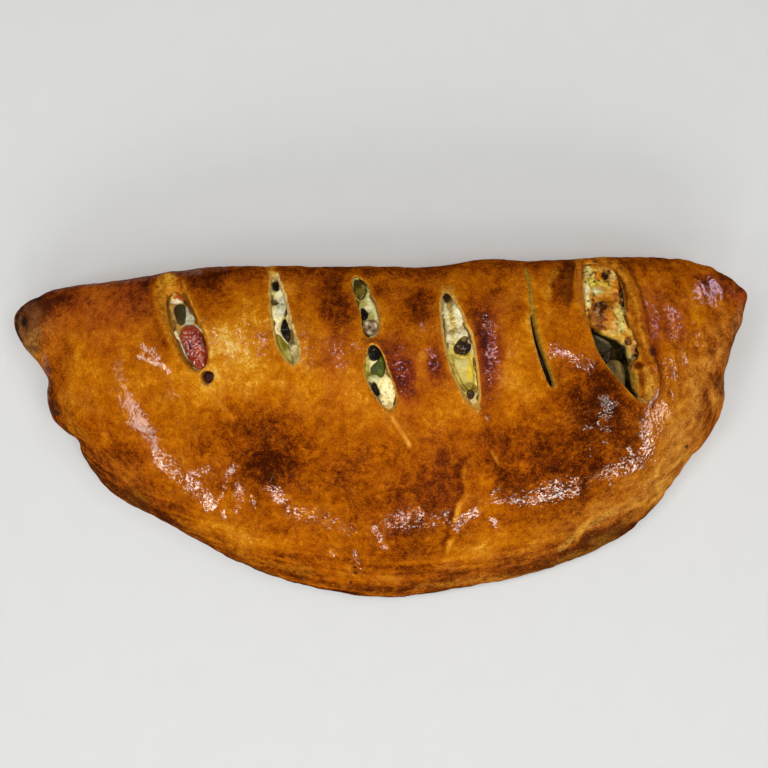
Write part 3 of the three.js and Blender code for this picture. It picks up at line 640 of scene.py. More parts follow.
# Where the egg wash has dried to a hard shine: path, half width, strength
GLAZE = [
    ([(116, 366), (119, 388), (128, 408)], 9.0, 0.46), ([(126, 402), (138, 424), (150, 442)], 10.5, 0.84), ([(141, 430), (146, 438), (151, 446)], 9.0, 0.96), ([(150, 445), (157, 454), (167, 464)], 9.5, 0.52),
    ([(180, 477), (189, 484), (199, 493), (210, 504)], 9.5, 0.64), ([(190, 474), (206, 470)], 5.0, 0.50),
    ([(238, 462), (228, 476), (226, 482)], 3.0, 1.0), ([(223, 486), (220, 500), (225, 517)], 2.2, 0.95), ([(237, 486), (240, 498), (236, 511)], 5.0, 0.85),
    ([(251, 498), (254, 508)], 3.0, 0.6), ([(266, 474), (272, 486), (281, 500)], 7.0, 0.74), ([(290, 508), (320, 520), (350, 528)], 8.0, 0.38),
    ([(355, 550), (358, 570)], 2.6, 0.8), ([(332, 553), (334, 558)], 2.6, 0.7), ([(374, 528), (379, 536), (384, 547)], 3.4, 1.0),
    ([(392, 521), (404, 521), (416, 516)], 12.0, 0.48), ([(420, 522), (444, 517)], 9.0, 0.36), ([(456, 526), (466, 516), (474, 512)], 6.0, 0.72),
    ([(492, 519), (497, 527)], 3.0, 0.95), ([(498, 496), (508, 497), (520, 500)], 8.0, 0.50), ([(536, 496), (552, 491), (570, 487)], 14.0, 0.56),
    ([(576, 484), (590, 478), (606, 472)], 6.0, 0.26), ([(610, 472), (626, 466), (644, 459)], 10.0, 0.48),
    ([(650, 434), (648, 446), (651, 456)], 6.5, 1.0), ([(650, 432), (656, 412), (663, 396)], 13.0, 0.74), ([(664, 396), (672, 376), (682, 352)], 12.0, 0.52), ([(662, 372), (684, 350), (698, 330)], 14.0, 0.34),
    ([(604, 400), (610, 404), (604, 414)], 7.0, 0.80), ([(584, 429), (596, 425), (606, 430)], 4.5, 0.85), ([(604, 442), (606, 444)], 1.6, 0.9),
    ([(552, 350), (564, 352), (576, 360), (590, 366)], 7.0, 0.72), ([(706, 290), (714, 287), (724, 283)], 13.0, 0.78), ([(700, 296), (712, 300)], 9.0, 0.5),
    ([(650, 300), (654, 318), (656, 338)], 6.0, 0.40), ([(672, 312), (676, 324), (674, 336)], 8.0, 0.58),
    ([(142, 346), (152, 350), (158, 358)], 3.0, 0.85), ([(140, 356), (154, 362), (170, 371)], 3.0, 0.85), ([(212, 326), (216, 340)], 3.0, 0.75),
    ([(228, 344), (232, 366)], 7.0, 0.40), ([(238, 330), (242, 338)], 2.6, 0.8), ([(260, 334), (266, 342)], 3.0, 0.8), ([(288, 366), (300, 360)], 4.0, 0.6),
    ([(172, 392), (176, 398)], 4.0, 0.5), ([(204, 322), (212, 340)], 5.0, 0.42), ([(240, 325), (244, 350)], 8.0, 0.36), ([(256, 330), (262, 352)], 7.0, 0.36), ([(305, 335), (309, 362)], 6.0, 0.36), ([(296, 395), (330, 398)], 10.0, 0.25), ([(335, 342), (340, 362)], 9.0, 0.38), ([(356, 344), (362, 352)], 4.0, 0.45), ([(420, 323), (423, 330)], 2.6, 0.9),
    ([(399, 352), (403, 374), (408, 396)], 8.0, 0.33), ([(430, 350), (434, 372)], 6.0, 0.42), ([(486, 318), (492, 344), (492, 376)], 8.0, 0.46),
    ([(484, 412), (487, 418)], 2.4, 0.8), ([(628, 448), (632, 454)], 2.4, 0.7),
    ([(45, 290), (80, 283.5), (120, 278.5), (160, 273.5)], 3.2, 0.62), ([(160, 273.5), (200, 270), (226, 268.5)], 2.6, 0.45),
]
CREASE = [(476, 455), (466, 462), (463, 473), (465, 485), (466, 496), (459, 504), (455, 520), (450, 530), (455, 536), (449, 542), (447, 552)]
SCRATCHES = [([(392, 417), (401, 431), (410, 446)], 1.1, 0.95), ([(492, 451), (496, 458), (499, 464)], 0.9, 0.5),
             ([(209, 392), (222, 406), (233, 419)], 2.0, 0.35), ([(594, 517), (585, 528), (577, 540)], 1.8, 0.5),
             ([(478, 404), (477, 416)], 1.2, 0.5)]


# Coloured dabs on the dough: place, half sizes, turn, colour, strength
DOUGH_DABS = [
    (169, 282, 8, 8, 0, (0.78, 0.36, 0.020), 0.8), (161, 290, 4, 10, -4, (0.62, 0.26, 0.014), 0.6), (271, 268.5, 6, 7, -10, (0.66, 0.30, 0.02), 0.65),
    (447, 289, 8, 5, 0, (0.56, 0.24, 0.02), 0.6), (641, 377, 8, 18, -5, (0.56, 0.19, 0.010), 0.85), (640, 365, 3.8, 3.2, 0, (0.17, 0.018, 0.003), 0.92),
    (643.5, 379, 1.6, 9, -8, (0.30, 0.075, 0.006), 0.75), (648.5, 374, 1.7, 8, -6, (0.62, 0.28, 0.025), 0.7), (634.2, 379, 2.8, 13, -8, (0.30, 0.20, 0.018), 0.9),
    (641.5, 400.5, 4, 2.6, 30, (0.70, 0.45, 0.09), 0.85), (477, 408, 3.4, 4, 0, (0.72, 0.46, 0.09), 0.75), (584.5, 278, 1.3, 2.2, 0, (0.05, 0.014, 0.004), 0.9),
    (584.3, 285.5, 1.1, 1.7, 0, (0.05, 0.014, 0.004), 0.9), (585.2, 296, 1.1, 2.2, 0, (0.06, 0.018, 0.004), 0.85), (587, 312, 1.3, 2.2, 0, (0.06, 0.018, 0.004), 0.85),
    (590, 318, 1.1, 1.7, 0, (0.07, 0.02, 0.004), 0.8), (596, 261, 3, 1.4, 10, (0.08, 0.022, 0.004), 0.8), (621, 268, 2.6, 1.3, 40, (0.10, 0.028, 0.004), 0.8),
    (610, 262.6, 2, 1.1, 20, (0.10, 0.028, 0.004), 0.7), (651, 352, 4.6, 6, 0, (0.085, 0.018, 0.006), 0.85), (206.8, 383.6, 5.5, 1.7, 8, (0.62, 0.40, 0.12), 0.75),
    (28, 328, 13, 33, 8, (0.20, 0.072, 0.022), 0.88), (31, 348, 8, 13, 0, (0.40, 0.185, 0.035), 0.8), (36, 336, 5, 10, 20, (0.42, 0.19, 0.035), 0.6), (27, 306, 12, 8, -20, (0.13, 0.044, 0.020), 0.75), (42, 303, 6, 10, -30, (0.075, 0.014, 0.004), 0.8), (27, 326, 1.6, 9, 6, (0.07, 0.022, 0.010), 0.7),
    (24.5, 321, 2.8, 6, 8, (0.014, 0.010, 0.009), 0.95), (36, 297.5, 5.4, 3, -28, (0.020, 0.012, 0.010), 0.95), (40, 306, 3.4, 12, -24, (0.13, 0.045, 0.012), 0.5), (18.6, 318, 2.2, 24, 8, (0.10, 0.045, 0.018), 0.8), (33, 348, 7, 3, 24, (0.12, 0.05, 0.018), 0.7),
    # the first dab is a painted sheen, grey down the left edge
    (45.5, 380, 4.6, 26, -2, (0.34, 0.165, 0.095), 0.6), (48.2, 369.6, 2.8, 4.4, 0, (0.13, 0.040, 0.035), 0.85), (51.6, 402.5, 2.8, 3.8, 0, (0.09, 0.030, 0.014), 0.85), (54, 411.5, 3.4, 4.6, -10, (0.11, 0.036, 0.014), 0.8),
    (741, 297, 4.6, 7, 0, (0.40, 0.075, 0.010), 0.8), (735, 322, 3.6, 18, 12, (0.55, 0.27, 0.085), 0.25),
    (642, 380, 1.9, 9, -8, (0.17, 0.028, 0.003), 0.85), (649.4, 388, 3.2, 9, 8, (0.74, 0.36, 0.04), 0.8), (638, 378, 1.4, 9, -6, (0.46, 0.32, 0.05), 0.75), (645.4, 372, 1.2, 6, -10, (0.66, 0.30, 0.03), 0.7),
    (639.6, 366, 5.0, 3.6, 0, (0.11, 0.018, 0.003), 0.85), (643, 375, 2.2, 8, -8, (0.24, 0.055, 0.004), 0.65), (633.8, 360, 2.6, 3.2, 0, (0.16, 0.045, 0.006), 0.7),
    # the first dab is painted shade outside the left lip of the widest slit
    (572.5, 276, 2.2, 12, 4, (0.075, 0.020, 0.004), 0.6), (580, 283, 2.2, 12, -2, (0.66, 0.22, 0.022), 0.6), (585.6, 318, 1.6, 7, -24, (0.68, 0.30, 0.03), 0.6),
]
# and strokes: path, half width, colour, strength
DOUGH_STROKES = [
    # the first stroke is a painted sheen, a grey band along the top edge at the fold
    ([(45, 291), (80, 285.5), (120, 281), (160, 276), (200, 272)], 3.2, (0.30, 0.15, 0.10), 0.35),
    ([(66, 392), (74, 424), (92, 452), (116, 479), (150, 509), (196, 533), (250, 553), (330, 580)], 6.0, (0.62, 0.23, 0.012), 0.34),
    ([(420, 590), (500, 581), (560, 560), (612, 536), (660, 496), (688, 460)], 6.0, (0.60, 0.26, 0.025), 0.32),
    ([(560, 549), (586, 527), (612, 512)], 3.0, (0.66, 0.36, 0.05), 0.5), ([(548, 300), (549, 284), (556, 272)], 3.0, (0.66, 0.29, 0.015), 0.55),
    ([(739, 310), (731, 340), (724, 365), (722, 395)], 5.5, (0.50, 0.24, 0.08), 0.26),
    ([(64, 424), (96, 474), (130, 502), (170, 526), (220, 554), (280, 578)], 1.8, (0.10, 0.035, 0.008), 0.6),
    ([(526.4, 271), (528.6, 284), (531, 300), (533.8, 315), (536, 330), (539.6, 345), (545, 360), (550.8, 374), (554.6, 386.5)], 2.0, (0.36, 0.245, 0.028), 0.95),
    ([(529, 314), (530.9, 331), (534.2, 346), (539.4, 362), (546, 380)], 0.8, (0.66, 0.38, 0.07), 0.7),
    ([(166, 277), (158, 287), (158.6, 302), (163.4, 320), (170.6, 338), (179.6, 355), (189.6, 369)], 3.4, (0.60, 0.205, 0.008), 0.8),
    ([(176, 281), (186.4, 298), (196.4, 316), (204.8, 336), (208.6, 350), (208.6, 364)], 2.4, (0.58, 0.185, 0.008), 0.8),
    ([(181, 294), (188.6, 306), (195.6, 318)], 1.3, (0.17, 0.050, 0.006), 0.8),
    # painted shade outside the left lip of the first slit
    ([(151.6, 284), (150.4, 300), (155, 322), (162, 342)], 2.2, (0.28, 0.075, 0.003), 0.5),
    ([(580, 262), (577.4, 272), (576.8, 285), (578.4, 300), (583.4, 315), (590, 330)], 3.6, (0.56, 0.165, 0.009), 0.78),
    # painted shade outside the left lip of the widest slit
    ([(574.4, 262), (570.6, 272), (569.2, 285), (570.4, 300)], 2.4, (0.12, 0.030, 0.003), 0.7),
    ([(600, 259.5), (612, 262.5), (623, 274), (630.4, 290), (635.8, 308), (639.6, 325), (642.6, 342), (647.4, 354), (652, 366), (653.4, 380), (650, 392), (644, 401)],
     4.2, (0.46, 0.140, 0.006), 0.75),
    ([(617.4, 270), (623.6, 282), (627.6, 296), (629, 310)], 1.3, (0.085, 0.024, 0.005), 0.85),
    ([(633, 325), (636, 336), (639.6, 346)], 1.1, (0.12, 0.035, 0.006), 0.7),
    ([(593.4, 335), (597, 350), (607.6, 367), (620.6, 382), (631.4, 394), (639.6, 402)], 1.4, (0.56, 0.20, 0.010), 0.85),
    ([(271, 272), (269.4, 290), (270.2, 311), (273.4, 331), (277, 346), (283.6, 357), (291, 364.6)], 1.3, (0.70, 0.44, 0.10), 0.75),
    ([(276.6, 274.5), (281.6, 286), (286.2, 300), (289, 313), (293.4, 328), (297.8, 343), (299.4, 354), (297.4, 362)], 1.8, (0.78, 0.60, 0.22), 0.85),
    ([(450, 291.6), (443.4, 292.6), (440.8, 300), (441, 316), (443, 336), (446.6, 354), (451, 370), (456.8, 383), (464, 396), (471.4, 405)], 1.5, (0.74, 0.50, 0.12), 0.85),
    ([(452, 294), (457.6, 303), (463, 314), (466.4, 323)], 1.2, (0.66, 0.40, 0.08), 0.7),
    ([(364.6, 364), (365, 374), (369, 386.5), (376, 398), (385, 409)], 1.0, (0.66, 0.38, 0.06), 0.7),
    ([(389.6, 373), (395, 386), (397.6, 396), (396, 406), (390.6, 412), (384, 409.6)], 1.2, (0.60, 0.28, 0.025), 0.8),
    ([(351, 284), (352.4, 292), (356, 303), (360.6, 318)], 0.9, (0.36, 0.13, 0.008), 0.7),
    ([(365, 280), (370.4, 290), (373, 297), (378.6, 307), (380.4, 320), (380.6, 330)], 1.1, (0.50, 0.22, 0.018), 0.7),
    ([(362, 339.5), (369, 340.6), (376, 340), (382, 342)], 1.6, (0.20, 0.060, 0.006), 0.8),
    # painted shade in the groove outside the right lip of the widest slit
    ([(617, 258), (631, 271), (640.6, 292), (645.8, 314), (649.4, 336)], 2.0, (0.13, 0.026, 0.005), 0.72), ([(654, 359), (659, 372), (659.4, 384), (656.4, 394), (649, 405)], 1.8, (0.16, 0.034, 0.006), 0.7),
    # painted highlight along the crest of that lip
    ([(604, 260.5), (616, 266), (626, 279), (632.6, 297), (637.6, 316), (641, 334), (645, 348)], 1.7, (0.66, 0.26, 0.016), 0.75),
    # the first stroke is painted shade outside the left lip of the widest slit
    ([(568, 262), (564.6, 275), (565, 292), (568.6, 306)], 2.6, (0.14, 0.036, 0.005), 0.6), ([(580.6, 266), (579.4, 278), (580, 292), (583.6, 307), (588, 320)], 1.5, (0.60, 0.22, 0.030), 0.75),
    ([(576, 262), (584, 258.6), (594, 257.4), (606, 258.6)], 1.6, (0.56, 0.22, 0.018), 0.6), ([(591, 337), (595.6, 351), (609, 371), (621.6, 385), (633, 398)], 0.9, (0.70, 0.30, 0.02), 0.85),
    ([(649, 376), (651, 386), (647, 398)], 3.0, (0.72, 0.34, 0.035), 0.85), ([(640.6, 370), (641.6, 380), (643.6, 388)], 2.0, (0.19, 0.030, 0.003), 0.88), ([(638, 370), (637.6, 386), (640, 396)], 1.2, (0.46, 0.34, 0.05), 0.8),
    ([(160, 284), (160.6, 300), (165, 318), (172.6, 338), (181, 354)], 1.6, (0.68, 0.30, 0.020), 0.7), ([(183, 282), (190, 298), (198, 316), (204.6, 336), (207.6, 350)], 1.2, (0.68, 0.30, 0.020), 0.7),
    ([(166, 296), (167, 310), (171.6, 324), (176, 337)], 1.4, (0.12, 0.035, 0.005), 0.75), ([(184, 294), (190, 306), (196, 320)], 1.2, (0.12, 0.035, 0.005), 0.75),
]


def rows(uv, table, power=1.0):
    out = np.zeros(len(uv))
    for cu, cv, a, b, turn, amount in table:
        c, s = math.cos(turn * DEG), math.sin(turn * DEG)
        du, dv = uv[:, 0] - cu, uv[:, 1] - cv
        r2 = ((du * c + dv * s) / a) ** 2 + ((-du * s + dv * c) / b) ** 2
        out += amount * np.exp(-0.5 * r2 ** power)
    return out


# --------------------------------------------------------------- materials

class Nodes:
    """Short ways to write a node tree."""

    def __init__(self, name):
        self.m = bpy.data.materials.new(name)
        self.m.use_nodes = True
        self.t = self.m.node_tree
        self.t.nodes.clear()

    def add(self, kind, **inputs):
        n = self.t.nodes.new(kind)
        for k, v in inputs.items():
            if k.startswith("_"):
                setattr(n, k[1:], v)
        for k, v in inputs.items():
            if not k.startswith("_"):
                self.put(n.inputs[k.replace("__", " ")], v)
        return n

    def put(self, socket, v):
        if isinstance(v, bpy.types.NodeSocket):
            self.t.links.new(v, socket)
        else:
            socket.default_value = v

    def attr(self, name):
        n = self.add("ShaderNodeAttribute", _attribute_name=name)
        return n

    def coords(self):
        return self.add("ShaderNodeTexCoord").outputs["Object"]

    def noise(self, at, scale, detail=3.0, rough=0.5, distortion=0.0):
        return self.add("ShaderNodeTexNoise", Vector=at, Scale=scale, Detail=detail, Roughness=rough, Distortion=distortion).outputs["Fac"]

    def math(self, op, a, b=None, c=None, clamp=False):
        n = self.add("ShaderNodeMath", _operation=op, _use_clamp=clamp)
        for i, v in enumerate((a, b, c)):
            if v is not None:
                self.put(n.inputs[i], v)
        return n.outputs[0]

    def mix(self, fac, a, b, mode="MIX"):
        n = self.add("ShaderNodeMix", _data_type="RGBA", _blend_type=mode)
        self.put(n.inputs["Factor"], fac)
        self.put(n.inputs[6], a)
        self.put(n.inputs[7], b)
        return n.outputs[2]

    def ramp(self, fac, stops):
        n = self.add("ShaderNodeValToRGB", Fac=fac)
        el = n.color_ramp.elements
        while len(el) < len(stops):
            el.new(0.5)
        for e, (pos, col) in zip(el, stops):
            e.position = pos
            e.color = col if len(col) == 4 else (*col, 1)
        return n.outputs["Color"]

    def range(self, v, lo, hi, a=0.0, b=1.0):
        n = self.add("ShaderNodeMapRange", Value=v)
        n.inputs["From Min"].default_value = lo
        n.inputs["From Max"].default_value = hi
        n.inputs["To Min"].default_value = a
        n.inputs["To Max"].default_value = b
        return n.outputs["Result"]

    def bump(self, height, distance, strength=1.0, normal=None):
        n = self.add("ShaderNodeBump", Height=height, Distance=distance, Strength=strength)
        if normal is not None:
            self.put(n.inputs["Normal"], normal)
        return n.outputs["Normal"]

    def surface(self, **inputs):
        n = self.add("ShaderNodeBsdfPrincipled", **inputs)
        out = self.add("ShaderNodeOutputMaterial")
        self.t.links.new(n.outputs[0], out.inputs[0])
        return self.m


def crust_material():
    k = Nodes("baked_dough")
    at = k.coords()
    toast, red = k.attr("toast").outputs["Fac"], k.attr("red").outputs["Fac"]
    pale, char, matte = k.attr("pale").outputs["Fac"], k.attr("char").outputs["Fac"], k.attr("matte").outputs["Fac"]
    fine = k.noise(at, 1300, 3.0, 0.75)
    mid = k.noise(at, 420, 4.0, 0.62, 0.6)
    broad = k.noise(at, 110, 6.0, 0.68, 0.9)
    spots = k.math("ADD", k.math("MULTIPLY", k.math("SUBTRACT", mid, 0.5), 0.75), k.math("MULTIPLY", k.math("SUBTRACT", broad, 0.5), 0.80))
    spots = k.math("SUBTRACT", spots, k.math("MULTIPLY", k.math("MAXIMUM", spots, 0.0), 0.35))
    spots = k.math("MULTIPLY", spots, k.range(toast, 0.20, 0.60, 1.55, 1.0))
    speckle = k.math("SUBTRACT", fine, 0.5)
    speckle = k.math("SUBTRACT", speckle, k.math("MULTIPLY", k.math("MAXIMUM", speckle, 0.0), 0.30))
    t = k.math("ADD", k.math("ADD", toast, spots), k.math("MULTIPLY", speckle, 0.92))
    col = k.ramp(t, [
        (0.00, (0.82, 0.47, 0.08)), (0.16, (0.74, 0.305, 0.012)), (0.30, (0.64, 0.214, 0.0050)), (0.45, (0.53, 0.147, 0.0025)),
        (0.60, (0.40, 0.094, 0.0018)), (0.75, (0.245, 0.047, 0.0016)), (0.88, (0.115, 0.0195, 0.0014)), (1.00, (0.045, 0.007, 0.001)),
    ])
    redder = k.mix(k.range(red, 0.0, 1.0), col, (0.90, 0.60, 2.2, 1), "MULTIPLY")
    redder = k.mix(k.range(red, 0.0, 1.2, 0.0, 0.16), redder, (0.20, 0.05, 0.045, 1))
    yellower = k.mix(k.range(red, 0.0, -1.0), redder, (1.03, 1.22, 2.2, 1), "MULTIPLY")
    floury = k.math("MULTIPLY", matte, k.range(mid, 0.35, 0.65, 0.12, 0.42))
    dust = k.ramp(k.math("ADD", 0.5, k.math("MULTIPLY", k.math("ADD", k.math("ADD", spots, speckle), k.math("MULTIPLY", k.math("SUBTRACT", toast, 0.46), 0.9)), 1.5)), [
        (0.10, (0.98, 0.70, 0.26)), (0.45, (0.80, 0.45, 0.11)), (0.75, (0.40, 0.15, 0.035)), (1.00, (0.16, 0.05, 0.015))])
    yellower = k.mix(floury, yellower, dust)
    grain = k.noise(at, 700, 3.0, 0.6)
    cut = k.ramp(k.math("ADD", pale, k.math("MULTIPLY", k.math("SUBTRACT", grain, 0.5), 0.35)), [
        (0.00, (0.74, 0.235, 0.008)), (0.40, (0.80, 0.34, 0.03)), (0.70, (0.84, 0.50, 0.10)), (1.00, (0.86, 0.62, 0.20))])
    col = k.mix(k.range(pale, 0.05, 0.45), yellower, cut)
    rub = k.math("ADD", k.math("MULTIPLY", k.math("SUBTRACT", 0.5, fine), 0.9), k.math("MULTIPLY", k.math("SUBTRACT", 0.5, mid), 1.1))
    dab = k.attr("colour").outputs["Color"]
    dab = k.mix(k.range(rub, -0.20, 0.10, 1.0, 0.0), dab, k.mix(1.0, dab, (0.42, 0.27, 0.18, 1), "MULTIPLY"))
    dab = k.mix(k.range(rub, 0.02, 0.28, 0.0, 0.6), dab, k.mix(1.0, dab, (1.25, 1.30, 1.6, 1), "MULTIPLY"))
    col = k.mix(k.math("ADD", k.attr("dabbed").outputs["Fac"], k.math("MULTIPLY", rub, k.math("MULTIPLY", k.attr("dabbed").outputs["Fac"], 0.6)), clamp=True), col, dab)
    black = k.range(k.math("ADD", char, k.math("MULTIPLY", k.math("SUBTRACT", mid, 0.5), 0.5)), 0.30, 0.75)
    col = k.mix(black, col, (0.018, 0.010, 0.008, 1))
    rough = k.range(matte, 0.0, 1.0, 0.42, 0.62)
    rough = k.math("ADD", rough, k.math("MULTIPLY", k.math("SUBTRACT", broad, 0.5), 0.12), clamp=True)
    skin = k.noise(at, 720, 1.0, 0.5, 0.3)
    pores = k.noise(at, 1300, 0.0, 0.5)
    wrinkle = k.noise(at, 300, 1.0, 0.5, 0.8)
    rugged = k.attr("rugged").outputs["Fac"]
    n = k.bump(k.math("MULTIPLY", wrinkle, rugged), 0.00022, 1.0)
    n = k.bump(k.math("MULTIPLY", skin, rugged), 0.00013, 1.0, n)
    n = k.bump(pores, 0.00003, 1.0, n)
    wash = k.math("ADD", k.math("MULTIPLY", k.attr("glaze").outputs["Fac"], 0.78), k.math("MULTIPLY", k.math("SUBTRACT", skin, 0.5), 1.35))
    wash = k.math("ADD", wash, k.math("MULTIPLY", k.math("SUBTRACT", fine, 0.5), 0.7))
    return k.surface(Base__Color=col, Roughness=rough, IOR=1.38, Specular__IOR__Level=0.0, Normal=n, Coat__Weight=k.range(wash, 0.30, 0.58),
                     Coat__Roughness=0.09, Coat__IOR=1.42, Coat__Tint=(1.0, 0.95, 0.90, 1.0), Coat__Normal=n)


def food_material(name, shine, rough=0.3, bump=0.00012, scale=900, vary=0.25, ior=1.45, sub=0.0, radius=(0.6, 0.45, 0.2), sub_scale=0.002):
    """A wet, cooked surface whose colour is painted on the mesh."""
    k = Nodes(name)
    at = k.coords()
    col = k.attr("colour").outputs["Color"]
    wet = k.attr("wet").outputs["Fac"]
    fine = k.noise(at, scale, 3.0, 0.6)
    mid = k.noise(at, scale / 3.5, 3.0, 0.6, 0.5)
    shade = k.math("ADD", k.math("MULTIPLY", fine, 0.5), k.math("MULTIPLY", mid, 0.5))
    dark = k.mix(1.0, col, (1 - 1.6 * vary, 1 - 1.8 * vary, 1 - 2.2 * vary, 1), "MULTIPLY")
    light = k.mix(0.35 * vary / 0.25, col, (1.0, 0.97, 0.86, 1), "SCREEN") if vary < 0.3 else col
    base = k.mix(k.range(shade, 0.36, 0.50), dark, col)
    base = k.mix(k.range(shade, 0.55, 0.75, 0.0, 0.35), base, light)
    r = k.range(wet, 0.0, 1.0, min(0.85, rough + 0.35), rough)
    n = k.bump(k.noise(at, scale * 0.9, 3.0, 0.6), bump, 1.0)
    extra = {}
    if sub:
        extra = dict(Subsurface__Weight=sub, Subsurface__Radius=radius, Subsurface__Scale=sub_scale)
    return k.surface(Base__Color=base, Roughness=r, IOR=ior, Specular__IOR__Level=shine, Normal=n, **extra)


# ------------------------------------------------------------------ meshes

def make_object(name, v, tri, mat, floats=None, colour=None):
    me = bpy.data.meshes.new(name)
    me.from_pydata((v * 0.001).tolist(), [], tri.tolist())
    me.update()
    for key, arr in (floats or {}).items():
        a = me.attributes.new(key, "FLOAT", "POINT")
        a.data.foreach_set("value", np.asarray(arr, np.float32))
    if colour is not None:
        a = me.attributes.new("colour", "FLOAT_COLOR", "POINT")
        a.data.foreach_set("color", np.c_[colour, np.ones(len(v))].astype(np.float32).ravel())
    me.shade_smooth()
    me.materials.append(mat)
    o = bpy.data.objects.new(name, me)
    bpy.context.scene.collection.objects.link(o)
    return o


def build_crust():
    step = 1.22
    # loop where the underside meets the table
    fine = np.linspace(-PI, PI, 7200, endpoint=False)
    edge = flat(fine, np.ones(len(fine)))
    run = np.concatenate([[0], np.cumsum(np.linalg.norm(np.diff(np.vstack([edge, edge[:1]]), axis=0), axis=1))])
    count = int(run[-1] / (step * 1.5))
    loop_phi = wrap(np.interp(np.arange(count) / count * run[-1], run, np.append(fine, PI)))
    pts, phis, fs = [flat(loop_phi, np.ones(count))], [loop_phi], [np.ones(count)]
    loops = [np.arange(count)]
    total = count
    # holes
    for hole in HOLES:
        phi, f, d = plan_to_flat(hole)
        pts.append(d), phis.append(phi), fs.append(f)
        loops.append(total + np.arange(len(hole)))
        total += len(hole)
    # close points round the slits
    close = []
    for n, (hole, lip) in enumerate(zip(HOLES, LIPS)):
        lo, hi = lip.min(0) - ZONE, lip.max(0) + ZONE
        q = lattice(lo, hi, 0.54, 40 + n)
        dl, inl = distance(lip, q), inside(lip, q)
        dh, inh = distance(hole, q), inside(hole, q)
        q = q[(inl | (dl < ZONE)) & ~inh & (dh > 0.36)]
        close.append((n, q))
    kept = []
    for n, q in close:
        for m, (hole, lip) in enumerate(zip(HOLES, LIPS)):
            if m == n:
                continue
            i = near(hole, q, 0.4)
            if len(i):
                bad = inside(hole, q[i]) | (distance(hole, q[i]) < 0.36)
                q = np.delete(q, i[bad], 0)
            if m < n:  # that zone already has points
                i = near(lip, q, ZONE)
                if len(i):
                    bad = inside(lip, q[i]) | (distance(lip, q[i]) < ZONE + 0.3)
                    q = np.delete(q, i[bad], 0)
        kept.append(q)
    q = np.vstack(kept)
    phi, f, d = plan_to_flat(q)
    pts.append(d), phis.append(phi), fs.append(f)
    # the rest of the skin
    box = flat(fine, np.ones(len(fine)))
    q = lattice(box.min(0) - 1, box.max(0) + 1, step, 7)
    phi, dist = ray_of(q)
    arc = by_phi(ARC, phi)
    ok = dist < arc - 0.75 * step
    q, phi, f = q[ok], phi[ok], (dist / arc)[ok]
    p3 = surface(phi, f)
    on_roof = f < by_phi(F_RIM, phi)
    drop = np.zeros(len(q), bool)
    for lip in LIPS:
        i = near(lip, p3[:, :2], ZONE + 1)
        i = i[on_roof[i]]
        if len(i):
            drop[i] |= inside(lip, p3[i, :2]) | (distance(lip, p3[i, :2]) < ZONE + 0.45)
    q, phi, f = q[~drop], phi[~drop], f[~drop]
    pts.append(q), phis.append(phi), fs.append(f)

    D, phi, f = np.vstack(pts), np.concatenate(phis), np.concatenate(fs)
    tri = triangulate(D, loops)
    for n, loop in enumerate(loops):
        tri = cut_out(tri, D, loop, keep_inside=(n == 0))
    base = surface(phi, f)
    rim = by_phi(F_RIM, phi)
    roof = f < rim - 1e-6
    normal = vertex_normals(base, tri)

    # ---- shape of the skin
    plan = base[:, :2].copy()
    depth, near_lip, cut, roll, which = (np.zeros(len(D)), np.full(len(D), 99.0), np.zeros(len(D)), np.zeros(len(D)), np.full(len(D), -1))
    i = np.nonzero(roof)[0]
    res = lip_fields(plan[i])
    depth[i], near_lip[i], cut[i], roll[i], which[i] = res
    uv = picture(base)
    calm = smooth(near_lip / 2.5) * (1 - smooth((f - rim - 0.02) / 0.10))
    side = smooth((1 - f) / 0.05)
    h = 0.55 * noise(base, 34, 1) + 0.30 * noise(base, 15, 2) + 0.13 * noise(base, 6.5, 3) + 0.06 * noise(base, 3.0, 4)
    h = h * (0.25 + 0.75 * calm) * side
    low = smooth((f / rim - 0.80) / 0.12) * side
    h = h + low * (0.35 * noise(base * [1, 1, 0.5], 11, 9) + 0.20 * noise(base, 4.0, 10))
    h = h + rows(uv, BUMPS) * side
    fold = noise(np.c_[base[:, 0] + 0.30 * base[:, 1], 0.28 * base[:, 1], base[:, 2] * 0.3], 5.2, 84)
    h = h - 0.55 * fold * smooth((base[:, 0] - 112) / 18) * calm * side
    edge_zone = bell(near_lip, 1.6) * roof
    h = h + edge_zone * (0.12 * noise(base, 1.5, 86) + 0.14 * noise(base, 2.8, 87))
    h = h + roll * smooth((rim - f) / 0.03 + 0.2)
    # the overlap of the dough, and shallow scratches
    line = on_top(CREASE)
    i = near(line, plan, 16)
    i = i[roof[i]]
    q = plan[i]
    d = distance(line, q, closed=False)
    a, b = line[:-1], line[1:]
    mid = 0.5 * (a + b)
    k = np.argmin(((q[:, None] - mid[None]) ** 2).sum(2), 1)
    t = b - a
    sgn = np.sign(t[k, 0] * (q[:, 1] - a[k, 1]) - t[k, 1] * (q[:, 0] - a[k, 0]))
    along = smooth((q[:, 1] - line[-1, 1] + 3) / 8) * smooth((line[0, 1] + 2 - q[:, 1]) / 6)
    side_of = np.where(sgn > 0, d, -d)
    crease = (0.95 * smooth((side_of + 1.3) / 2.0) * np.exp(-np.maximum(side_of, 0) / 7.0) - 0.30 * bell(side_of + 1.5, 1.2)) * along
    h[i] += crease
    crease_pale = np.zeros(len(D))
    crease_shadow = np.zeros(len(D))
    crease_pale[i] = bell(side_of - 0.1, 0.62) * along * (0.35 + 0.65 * smooth((line[0, 1] - 18 - q[:, 1]) / 6)) * smooth((noise(np.c_[q, np.zeros(len(q))], 9, 27) + 0.45) / 0.5)
